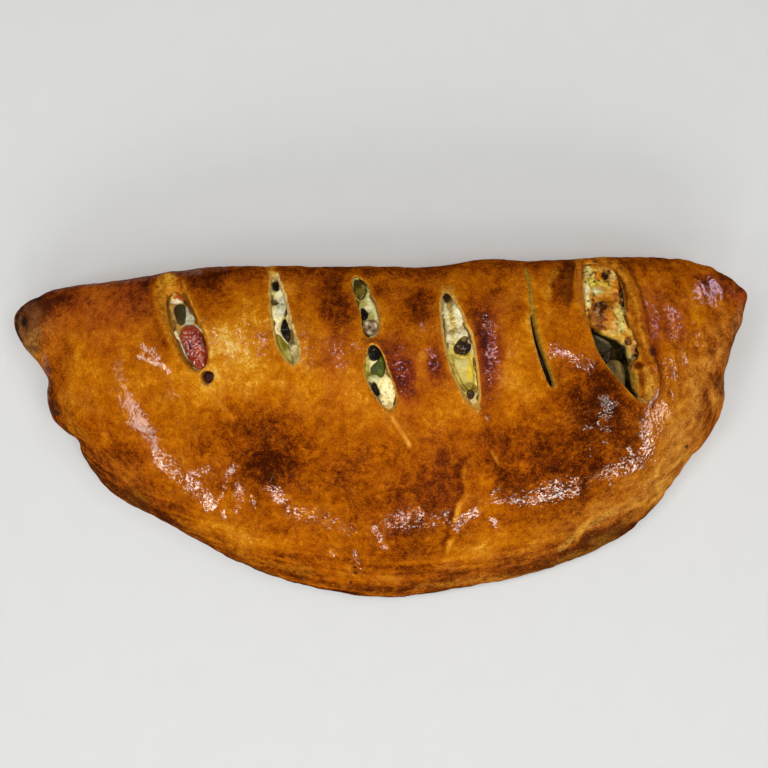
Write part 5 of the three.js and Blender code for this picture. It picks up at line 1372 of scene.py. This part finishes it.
    # painted shade in the crevices of the cheese, and painted light on its peaks
    relief_h = lumpy + 0.5 * knobs + 0.35 * shown * noise(p3, 1.7, 74)
    hollow = smooth((0.16 - relief_h) / 0.60)[:, None] * calmer
    col = col * (1 - 0.8 * hollow) + 0.8 * hollow * col * [0.42, 0.30, 0.15]
    peak_light = smooth((relief_h - 0.30) / 0.6)[:, None] * 0.5 * calmer
    col = col + peak_light * (np.minimum(1.0, col * 1.35) - col)
    # the cheese at the foot of the steam hole is painted dark red: dark juice, and painted shade of the hole
    j = near(HOLES[7], P, 1)
    col[j[inside(HOLES[7], P[j])]] = (0.05, 0.008, 0.006)
    # sides and floor
    n0 = len(P)
    foot = drawn_in(edge)
    extra = lattice(foot.min(0), foot.max(0), 9, 72)
    extra = extra[inside(foot, extra) & (distance(foot, extra) > 3)]
    F = np.vstack([foot, extra])
    ft = cut_out(triangulate(F, [np.arange(len(edge))]), F, np.arange(len(edge)), keep_inside=True)
    V = np.vstack([p3, np.c_[F, np.full(len(F), FLOOR + 0.4)]])
    T = np.vstack([tri, ft[:, ::-1] + n0, strip(np.arange(len(edge)), np.arange(len(edge)) + n0)])
    col = np.clip(col, 0, 0.94) ** (1.08 + 0.34 * toasted)[:, None]
    col[:, 2] *= 1 - 0.28 * toasted
    colour = np.vstack([col, np.tile(CREAM, (len(F), 1))])
    wet = np.full(len(V), 0.9)
    return make_object("cheese", V, T, food_material("melted_cheese", 0.40, rough=0.20, bump=0.00012, scale=700, vary=0.16, sub=0.15, sub_scale=0.001),
                       dict(wet=wet), colour)


# ----------------------------------------------------------------- filling

# Pieces of filling: kind, outline in the picture frame, how far their top lies
# below the skin, how much they fall to their edge, thickness under that, base
# colour and dabs.
SAUSAGE, SAUSAGE_DARK, SAUSAGE_RED = (0.30, 0.026, 0.006), (0.12, 0.009, 0.003), (0.42, 0.058, 0.012)
BLACK, INK, OLIVE_BROWN = (0.012, 0.009, 0.006), (0.004, 0.004, 0.003), (0.060, 0.028, 0.009)
PEPPER_GREEN, DEEP_GREEN, LIME, YELLOW = (0.24, 0.195, 0.014), (0.050, 0.068, 0.005), (0.42, 0.36, 0.06), (0.62, 0.48, 0.07)
GLASSY, MUSH, SLATE = (0.50, 0.43, 0.17), (0.19, 0.120, 0.028), (0.045, 0.038, 0.014)
PIECES = {
    "sausage_1": ("sausage", [(183, 324.5), (178.5, 329), (177.3, 336), (179, 345), (183.5, 355), (188, 363), (193.5, 369.4), (199, 371), (204.5, 367),
                              (207, 359.5), (206.4, 349), (203.5, 338.5), (197.5, 328), (191, 323.5)], 1.7, 3.4, 2.5, SAUSAGE,
                  [(186, 333, 5, 4, 0, SAUSAGE_RED, 0.6), (199, 352, 4, 6, 0, SAUSAGE_RED, 0.6), (190, 345, 3, 4, 0, SAUSAGE_DARK, 0.7),
                   (201, 341, 2.4, 6, -20, SAUSAGE_DARK, 0.7), (186, 352, 2, 6, -20, SAUSAGE_DARK, 0.6), (196, 364, 5, 3, 20, SAUSAGE_RED, 0.6),
                   (193, 334, 3, 3, 0, SAUSAGE_DARK, 0.5)]),
    "pepper_1": ("strip", [(176, 302.5), (171.6, 306), (171.4, 311.5), (173.5, 318), (176, 324.8), (182, 325.5), (185, 318), (184.2, 309), (182, 303.2)],
                 2.5, 1.2, 2.0, SLATE, [(177, 311, 5, 6, 0, (0.044, 0.026, 0.008), 0.85), (181, 320, 3, 4, 0, (0.058, 0.038, 0.010), 0.8), (173, 316, 1.6, 4, -15, INK, 0.7)]),
    "olive_2": ("olive", [(281.8, 318.5), (279.8, 325), (279, 330.5), (281.2, 335.8), (284.6, 341), (288.3, 344), (289.8, 339), (290.4, 333), (288.8, 327),
                          (286.8, 321), (285, 316.9)], 2.0, 1.5, 1.8, BLACK, [(285, 330, 9, 16, 0, (0.007, 0.005, 0.004), 0.8), (287, 338, 2, 4, 0, (0.045, 0.018, 0.008), 0.8)]),
    "pepper_2": ("strip", [(274.4, 333.5), (275.9, 343), (279.7, 352), (285.3, 360.3), (291, 364.2), (294, 362), (291.8, 356), (290, 350), (286.7, 343.5),
                           (282, 337.5), (278, 333)], 2.2, 1.3, 2.0, PEPPER_GREEN,
                 [(279, 343, 2.4, 7, -22, (0.42, 0.31, 0.03), 0.8), (286, 356, 3.6, 5, -20, LIME, 0.75), (283.5, 344, 2, 5, -25, (0.15, 0.13, 0.008), 0.7),
                  (289.5, 355, 1.2, 6, -18, GLASSY, 0.8)]),
    "onion_2": ("onion", [(292, 346.5), (290.8, 351.5), (292, 358), (295.2, 361.5), (298, 358), (298.6, 351.5), (296.5, 346.5)], 2.2, 1.0, 1.6, GLASSY,
                [(294, 350, 2, 2, 0, (0.66, 0.60, 0.34), 0.8), (295.6, 356, 1.6, 3, 0, (0.34, 0.25, 0.06), 0.7)]),
    "pepper_3": ("strip", [(353.4, 278.9), (352.8, 286), (354.7, 293.6), (357.5, 299.4), (362, 300), (365.6, 296), (367.4, 291), (366.3, 285), (362.7, 281),
                           (357.5, 277.9)], 1.9, 1.6, 2.0, (0.085, 0.058, 0.007),
                 [(357, 283, 3.4, 4, 0, (0.040, 0.029, 0.005), 0.8), (361, 292, 3, 4, -15, (0.17, 0.115, 0.017), 0.8), (364, 287, 2, 2.4, 0, (0.30, 0.23, 0.05), 0.7),
                  (356, 294, 1.6, 3, -15, (0.24, 0.16, 0.015), 0.7)]),
    "olive_3": ("olive", [(360, 306.7), (359.8, 312), (361.5, 318.5), (364.5, 320.8), (368, 318), (368.8, 313), (366.2, 309.5), (363.5, 307)], 2.0, 1.1, 1.5,
                BLACK, [(364, 316, 2, 3, 0, INK, 0.8)]),
    "crumb_3": ("crumb", [(363.8, 320.6), (363.2, 326), (365, 332.8), (369, 335.8), (374.3, 334.6), (377.6, 330.6), (378.4, 325), (376, 320.5), (371.5, 318.8),
                          (367, 319.8)], 1.7, 1.3, 1.8, (0.30, 0.21, 0.11),
                [(366.4, 323.6, 1.8, 1.8, 0, (0.62, 0.54, 0.36), 0.9), (372, 322, 2, 1.6, 0, UMBER, 0.9), (375.8, 325.5, 1.6, 2.6, 0, (0.66, 0.60, 0.42), 0.9),
                 (369.6, 327.6, 2, 1.8, 0, (0.09, 0.045, 0.025), 0.9), (374, 331, 2.2, 1.8, 0, (0.10, 0.055, 0.03), 0.9), (369, 332.6, 2.2, 1.8, 0, (0.56, 0.48, 0.32), 0.9),
                 (365.8, 329.6, 1.4, 1.8, 0, (0.13, 0.07, 0.03), 0.8)]),
    "olive_4": ("olive", [(372.5, 345.8), (369.6, 349), (368, 354.5), (369.2, 359.5), (373.5, 361.8), (378.5, 360), (381.4, 356.5), (380.3, 350.5), (377, 346.3)],
                2.2, 1.6, 2.0, BLACK, [(374, 353, 9, 10, 0, (0.006, 0.005, 0.004), 0.9), (373, 348, 3.4, 2, 0, (0.016, 0.010, 0.006), 0.8)]),
    "pepper_4": ("strip", [(381, 353.8), (376.7, 361), (371.8, 364.8), (369.4, 369.5), (371, 374), (376.6, 375.4), (381, 378.5), (384.5, 375.5), (386, 370),
                           (385.4, 362.5), (383.3, 356)], 2.3, 1.7, 2.2, DEEP_GREEN,
                 [(382, 362, 2.4, 5, -12, (0.085, 0.10, 0.008), 0.8), (374, 369, 3, 3, 0, (0.036, 0.052, 0.005), 0.8), (380.5, 373, 3, 3.6, 0, (0.10, 0.11, 0.008), 0.7)]),
    "olive_5": ("olive", [(457.5, 341.5), (453.8, 346), (453.4, 350.5), (456.5, 353.8), (462.5, 355.6), (468.5, 354), (472.2, 349.5), (472.9, 343), (470.2, 337),
                          (465, 334.5), (461, 337)], 1.9, 1.8, 2.0, OLIVE_BROWN,
                [(463, 346, 12, 12, 0, (0.040, 0.020, 0.008), 0.8), (466, 347, 5, 5, 0, (0.012, 0.007, 0.005), 0.85), (458, 348, 3, 3, 0, (0.055, 0.028, 0.009), 0.8), (464, 338.5, 3, 2.2, 0, (0.24, 0.15, 0.045), 0.85),
                 (470, 341, 1.5, 2.4, 0, (0.40, 0.30, 0.14), 0.9), (461.6, 343, 1.6, 1.4, 0, INK, 0.7)]),
    "pepper_5": ("strip", [(450.2, 349.5), (452.2, 357.5), (454.8, 366.5), (458.8, 376), (463.2, 384.5), (468, 390), (472.6, 390), (475.2, 384), (474.8, 374),
                           (473.2, 364), (471, 356.5), (465, 358), (459, 358), (454.5, 355)], 2.1, 1.5, 2.2, (0.56, 0.44, 0.11),
                 [(457, 366, 4, 10, -18, (0.60, 0.50, 0.15), 0.85), (469.6, 371.5, 2.4, 8.5, -4, (0.70, 0.50, 0.025), 0.95), (463.5, 363, 4, 5, 0, (0.60, 0.50, 0.17), 0.7),
                  (462, 378, 3.6, 6, -20, (0.50, 0.40, 0.08), 0.7), (470, 385.5, 5, 3.2, 0, (0.26, 0.185, 0.015), 0.95), (453.5, 358, 1.2, 5, -12, (0.34, 0.27, 0.03), 0.8)]),
    "onion_7": ("onion", [(594.6, 332), (595.6, 341), (600, 350.5), (607, 352.4), (614, 350), (618, 345.5), (611, 339.5), (602, 334.5)], 5.4, 1.0, 1.5,
                (0.044, 0.033, 0.013), [(603, 339.5, 7, 1.3, 28, (0.19, 0.15, 0.07), 0.8), (608, 348.6, 6, 1.6, 14, (0.020, 0.014, 0.006), 0.8), (598, 342, 2, 3, 0, (0.030, 0.020, 0.009), 0.8)]),
    "mushroom_7": ("mushroom", [(611.5, 361), (609, 367.5), (614.5, 375.6), (622, 383), (629, 389), (631, 381), (630.4, 370), (626.6, 361.5), (618.5, 358.5)], 5.8, 1.2,
                   2.0, MUSH, [(618, 372, 16, 20, 0, (0.145, 0.088, 0.020), 0.7), (617, 366, 3.4, 5, -20, (0.17, 0.105, 0.026), 0.8), (624, 376, 2.4, 7, -18, (0.11, 0.070, 0.016), 0.85), (615, 371, 2, 4, -30, (0.10, 0.062, 0.016), 0.7),
                               (627.4, 368, 1.6, 5, -8, (0.05, 0.034, 0.010), 0.8), (611.5, 366, 2.6, 6, -30, (0.05, 0.034, 0.010), 0.8),
                               (621, 385, 6, 2.2, 42, (0.045, 0.030, 0.009), 0.8), (620, 369, 0.9, 7, -14, (0.25, 0.165, 0.05), 0.7), (623.6, 371, 0.8, 7, -12, (0.06, 0.040, 0.012), 0.7)]),
}
# Small loose bits that the CAD part has no node for
BITS = {
    "olive": [([(271.8, 280.5), (271.8, 287.5), (275.6, 290.5), (279.4, 289), (277.6, 285.6), (274.6, 283.5), (273.8, 280)], 2.9, 0.7, 0.9, BLACK),
              ([(467.2, 390.5), (466.4, 396), (469, 400), (473.6, 400), (476.4, 395.5), (475.2, 391), (471, 389)], 2.3, 1.1, 1.2, (0.050, 0.024, 0.010)),
              ([(270.6, 300), (270.9, 304.4), (275, 305.4), (278.6, 303.8), (277.4, 300.4)], 2.2, 0.6, 0.9, (0.085, 0.062, 0.012))],
    "crumb": [([(170.6, 291.6), (170, 295.4), (173.4, 297.6), (176.2, 295), (174.6, 291.4)], 2.2, 0.9, 0.9, (0.62, 0.30, 0.05)),
              ([(178.4, 293.6), (177.2, 298.6), (180.4, 301.2), (183.6, 298.6), (182.2, 294.4)], 2.1, 0.9, 0.9, (0.42, 0.075, 0.012)),
              ([(633, 344), (632.4, 348), (635, 350.4), (638, 348), (637, 344.4)], 1.6, 1.0, 1.0, (0.34, 0.16, 0.04)),
              ([(586, 286.4), (584.9, 290), (587, 293), (589.4, 290), (588.4, 286.8)], 1.2, 1.0, 1.0, (0.80, 0.74, 0.52))],
}


def blob(kind, edge, below, fall, thick, seed):
    """A closed piece over an outline: domed above, rounded below."""
    loop = resample(ccw(rounded(on_top(edge), 3)), 0.36)
    q = lattice(loop.min(0), loop.max(0), 0.36, seed)
    q = q[inside(loop, q)]
    q = q[distance(loop, q) > 0.25]
    P = np.vstack([loop, q])
    ring = np.arange(len(loop))
    tri = cut_out(triangulate(P, [ring]), P, ring, keep_inside=True)
    d = distance(loop, P)
    d[ring] = 0
    wide = {"sausage": 1.0, "olive": 0.75, "crumb": 0.6}.get(kind, 0.5) * d.max()
    dome = np.sqrt(np.clip(1 - (1 - np.clip(d / wide, 0, 1)) ** 2, 0, 1))
    top = top_at(P)[0] - below
    rim = top - fall
    up = rim + fall * dome
    p3 = np.c_[P, up]
    if kind == "sausage":
        g = 1.5 * (np.abs(noise(p3, 2.3, seed)) - 0.2) + 1.15 * (np.abs(noise(p3, 1.25, seed + 1)) - 0.2) + 0.35 * noise(p3, 5.0, seed + 2)
    elif kind == "crumb":
        g = 1.2 * (np.abs(noise(p3, 2.0, seed)) - 0.25) + 0.5 * (np.abs(noise(p3, 0.9, seed + 1)) - 0.2)
    elif kind == "olive":
        g = 0.55 * noise(p3, 3.4, seed) + 0.22 * noise(p3, 1.4, seed + 1) - 0.5 * bell(d / d.max() - 1, 0.35)
    else:
        g = 0.55 * noise(p3, 4.2, seed) + 0.30 * (np.abs(noise(p3, 2.0, seed + 1)) - 0.2) + 0.10 * noise(p3, 0.9, seed + 2)
    up = up + g * smooth(d / 0.7)
    low = len(P) + np.arange(len(q))
    to_low = np.concatenate([ring, low])
    down = rim[len(loop):] - thick * dome[len(loop):]
    V = np.vstack([np.c_[P, up], np.c_[q, down]])
    tri = tri[(tri >= len(loop)).any(1)]  # a corner cut off by the ring alone has no thickness
    T = np.vstack([tri, to_low[tri][:, ::-1]])
    used = np.unique(T)
    place = np.zeros(len(V), int)
    place[used] = np.arange(len(used))
    return V[used], place[T]


MATERIALS = {
    "sausage": food_material("oily_sausage", 1.0, rough=0.13, bump=0.00010, scale=700, vary=0.22, ior=1.5),
    "olive": food_material("olive_skin", 0.22, rough=0.10, bump=0.00006, scale=700, vary=0.15, ior=1.5),
    "pepper": food_material("cooked_pepper", 0.30, rough=0.16, bump=0.00008, scale=600, vary=0.16, sub=0.15),
    "onion": food_material("cooked_onion", 0.22, rough=0.18, bump=0.00008, scale=700, vary=0.14, sub=0.2),
    "mushroom": food_material("cooked_mushroom", 0.20, rough=0.25, bump=0.00010, scale=500, vary=0.28),
    "crumb": food_material("cooked_crumb", 0.25, rough=0.45, bump=0.00022, scale=900, vary=0.25),
}


def build_pieces():
    made = []
    for i, (name, (kind, edge, below, fall, thick, base, dabs)) in enumerate(PIECES.items()):
        v, tri = blob(kind, edge, below, fall, thick, 100 + 7 * i)
        col = paint(v, picture(v), base, dabs, 200 + i, wobble=1.0, detail=1.6)
        group = name.split("_")[0]
        made.append((make_object(name + "_look", v, tri, MATERIALS[group], dict(wet=np.full(len(v), 1.0)), col), name, group))
    return made


def build_bits():
    made = []
    for group, table in BITS.items():
        V, T, C, n = [], [], [], 0
        for i, (edge, below, fall, thick, rgb) in enumerate(table):
            q, tri = blob(group, edge, below, fall, thick, 300 + i)
            V.append(q), T.append(tri + n), C.append(np.tile(rgb, (len(q), 1)))
            n += len(q)
        V, T, C = np.vstack(V), np.vstack(T), np.vstack(C)
        made.append((make_object(group + "_bits", V, T, MATERIALS[group], dict(wet=np.full(len(V), 1.0)), C), group))
    return made


crust = build_crust()
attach(crust, "root")
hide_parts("crust")

SAUSAGES = bpy.data.collections.new("sausages")
FILLINGS = bpy.data.collections.new("fillings")
DOUGH = bpy.data.collections.new("dough")
DOUGH.objects.link(crust)
cheese = build_cheese()
FILLINGS.objects.link(cheese)
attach(cheese, "root")
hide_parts("filling")

for o, node, group in build_pieces():
    FILLINGS.objects.link(o)
    if group == "sausage":
        SAUSAGES.objects.link(o)
    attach(o, "root")
    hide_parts(node)
for o, group in build_bits():
    FILLINGS.objects.link(o)
    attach(o, "root")


# ------------------------------------------------------------------- stage

def stage():
    me = bpy.data.meshes.new("table_top")
    r = 2.2
    me.from_pydata([(-r, -r, -0.0001), (r, -r, -0.0001), (r, r, -0.0001), (-r, r, -0.0001)], [], [(0, 1, 2, 3)])
    floor = bpy.data.objects.new("table_top", me)
    bpy.context.scene.collection.objects.link(floor)
    k = Nodes("pale_table")
    speck = k.noise(k.coords(), 60, 2.0)
    col = k.mix(k.range(speck, 0.3, 0.7), (0.79, 0.79, 0.77, 1), (0.80, 0.80, 0.785, 1))
    me.materials.append(k.surface(Base__Color=col, Roughness=0.6, Specular__IOR__Level=0.0))
    floor.visible_glossy = False


def area_light(name, azimuth, elevation, distance_m, width, height, radiance, colour=(1, 1, 1), glossy=False):
    """A soft box on a sphere round the part; azimuth 0 is +X, 90 is +Y. Large
    boxes only light the colours, and small bright ones only make highlights."""
    az, el = azimuth * DEG, elevation * DEG
    at = Vector((math.cos(az) * math.cos(el), math.sin(az) * math.cos(el), math.sin(el))) * distance_m
    data = bpy.data.lights.new(name, "AREA")
    data.shape = "RECTANGLE"
    data.size, data.size_y = width, height
    data.energy = radiance * PI * width * height
    data.color = colour
    o = bpy.data.objects.new(name, data)
    o.location = at
    o.rotation_euler = (Vector((0, 0, 0.02)) - at).to_track_quat("-Z", "Y").to_euler()
    o.visible_glossy = glossy
    o.visible_diffuse = not glossy
    bpy.context.scene.collection.objects.link(o)
    return o


SOFT = [  # azimuth, elevation, width, height, radiance
    (-90, 28, 0.26, 0.40, 7.0), (-64, 25, 0.40, 0.22, 6.5), (-118, 24, 0.22, 0.40, 5.0), (-150, 42, 0.30, 0.30, 5.0),
    (172, 52, 0.30, 0.24, 5.0), (150, 60, 0.34, 0.24, 4.3), (132, 72, 0.26, 0.26, 5.0), (84, 77, 0.24, 0.30, 5.0),
    (-140, 80, 0.24, 0.24, 5.0), (34, 52, 0.40, 0.24, 4.4), (-12, 60, 0.34, 0.30, 4.8), (-36, 42, 0.24, 0.32, 4.6),
]
GLINTS = [  # azimuth, elevation, width and height in degrees, radiance
    (172, 48, 13, 12, 3.4), (-177, 48, 13, 13, 4.0), (-168, 50, 13, 13, 6.0), (-158, 48, 13, 13, 6.5), (-145, 42, 13, 13, 6.6), (-131, 29, 11, 11, 8.0), (-125, 17, 8, 9, 9),
    (-124.5, 9, 7, 8, 22), (-121.5, 25, 5, 7, 24), (-120, 36, 6, 7, 24), (-114, 35, 6, 8, 22), (-107, 28.5, 12, 4, 14), (-99, 14, 6, 8, 22), (-92, 24, 5, 8, 26),
    (-86, 32, 8, 9, 9), (-79, 30, 6, 7, 10), (-74.5, 28, 5, 7, 22), (-71.5, 22, 3, 6, 26), (-69.5, 32, 5, 8, 22), (-62, 26, 8, 12, 22), (-55, 22, 6, 10, 18),
    (-50, 17, 7, 10, 19), (-46, 7, 7, 10, 20), (-42, 18, 7, 8, 20), (-33, 27, 12, 12, 14), (-20, 38, 13, 13, 12), (-8, 44, 13, 12, 11), (4, 44, 12, 10, 10),
    (-11, 63, 6, 6, 26), (-20, 64, 6, 6, 26), (-56, 30, 5, 6, 26), (36, 66, 6, 5, 26), (25, 65, 5, 5, 26), (16, 64, 5, 5, 24), (-37, 77, 5, 5, 22),
    (152, 51, 5, 5, 26), (160, 54, 6, 6, 26), (167, 58, 5, 5, 24), (132, 52, 4, 5, 22), (139, 58, 5, 5, 24), (129, 57, 4, 5, 24), (125, 62, 5, 5, 24), (150, 65, 6, 6, 12),
    (-177, 61, 5, 5, 16), (140, 74, 5, 5, 20), (86, 55, 5, 5, 24),
]
SHEEN = [  # softer and purple, on the browned places
    (36, 24, 13, 14, 11), (31, 36, 9, 8, 11), (42, 45, 7, 8, 9), (28, 49, 10, 8, 9), (113, 71, 9, 9, 9), (86, 74, 9, 12, 11), (72, 76, 9, 9, 10),
    (66, 58, 9, 12, 11), (48, 71, 9, 9, 10), (28, 77, 9, 9, 9),
]
WET = [  # small highlights on the filling only
    (168, 76, 2.6, 2.4, 70), (-150, 66, 2.6, 2.4, 70), (120, 58, 2.6, 2.4, 60), (-100, 62, 2.6, 2.4, 70), (-60, 72, 2.6, 2.4, 70), (20, 72, 2.6, 2.4, 70),
    (70, 56, 2.6, 2.4, 60), (-170, 48, 2.6, 2.4, 60), (-120, 40, 3, 3, 50), (-40, 50, 2.6, 2.4, 60), (0, 44, 2.6, 2.6, 50), (90, 80, 2.4, 2.4, 60),
]

OILY = [  # broader ones for the knobs of the sausage
    (-110, 62, 17, 15, 15), (150, 58, 14, 15, 15), (40, 52, 14, 14, 13), (-40, 50, 14, 12, 11), (-160, 38, 14, 12, 12),
]


def lights():
    warm = (1.0, 0.94, 0.85)
    for n, (az, el, width, height, radiance) in enumerate(SOFT):
        area_light("soft_%d" % n, az, el, 1.2, width, height, radiance, (1, 1, 1))
    for n, (az, el, width, height, radiance) in enumerate(GLINTS):
        k = 1.2 * DEG
        o = area_light("glint_%d" % n, az, el, 1.2, width * k, height * k, radiance, warm, glossy=True)
        o.light_linking.receiver_collection = DOUGH
    area_light("sheen_back", 114, -18, 1.4, 0.7, 1.5, 0.55, (1.0, 0.86, 0.78), glossy=True).light_linking.receiver_collection = DOUGH
    for n, (az, el, width, height, radiance) in enumerate(SHEEN):
        k = 1.2 * DEG
        o = area_light("sheen_%d" % n, az, el, 1.2, width * k, height * k, radiance, (0.92, 0.68, 0.86), glossy=True)
        o.light_linking.receiver_collection = DOUGH
    # lights for what lies deep in the slits
    for n, (az, el, width, height, radiance) in enumerate(WET):
        k = 1.2 * DEG
        o = area_light("wet_%d" % n, az, el, 1.2, width * k, height * k, radiance, warm, glossy=True)
        o.light_linking.receiver_collection = FILLINGS
    for n, (az, el, width, height, radiance) in enumerate(OILY):
        k = 1.2 * DEG
        o = area_light("oily_%d" % n, az, el, 1.2, width * k, height * k, radiance, warm, glossy=True)
        o.light_linking.receiver_collection = SAUSAGES
    o = area_light("slit_fill", -80, 78, 1.2, 0.30, 0.30, 13.0, (1.0, 0.98, 0.92))
    o.light_linking.receiver_collection = FILLINGS
    w = bpy.data.worlds.new("studio")
    bpy.context.scene.world = w
    w.cycles_visibility.glossy = False
    w.use_nodes = True
    t = w.node_tree
    t.nodes.clear()
    out = t.nodes.new("ShaderNodeOutputWorld")
    bg = t.nodes.new("ShaderNodeBackground")
    bg.inputs[0].default_value = (0.165, 0.165, 0.165, 1)
    t.links.new(bg.outputs[0], out.inputs[0])


def camera():
    data = bpy.data.cameras.new("camera")
    data.sensor_fit = "HORIZONTAL"
    data.sensor_width = 36.0
    data.lens = 36.0 * FOCAL / 768.0
    data.clip_start, data.clip_end = 0.01, 20
    o = bpy.data.objects.new("camera", data)
    o.location = tuple(c * 0.001 for c in EYE)
    o.rotation_euler = (0, 0, 0)
    bpy.context.scene.collection.objects.link(o)
    bpy.context.scene.camera = o


stage()
lights()
camera()
bpy.context.scene.view_settings.view_transform = "Standard"
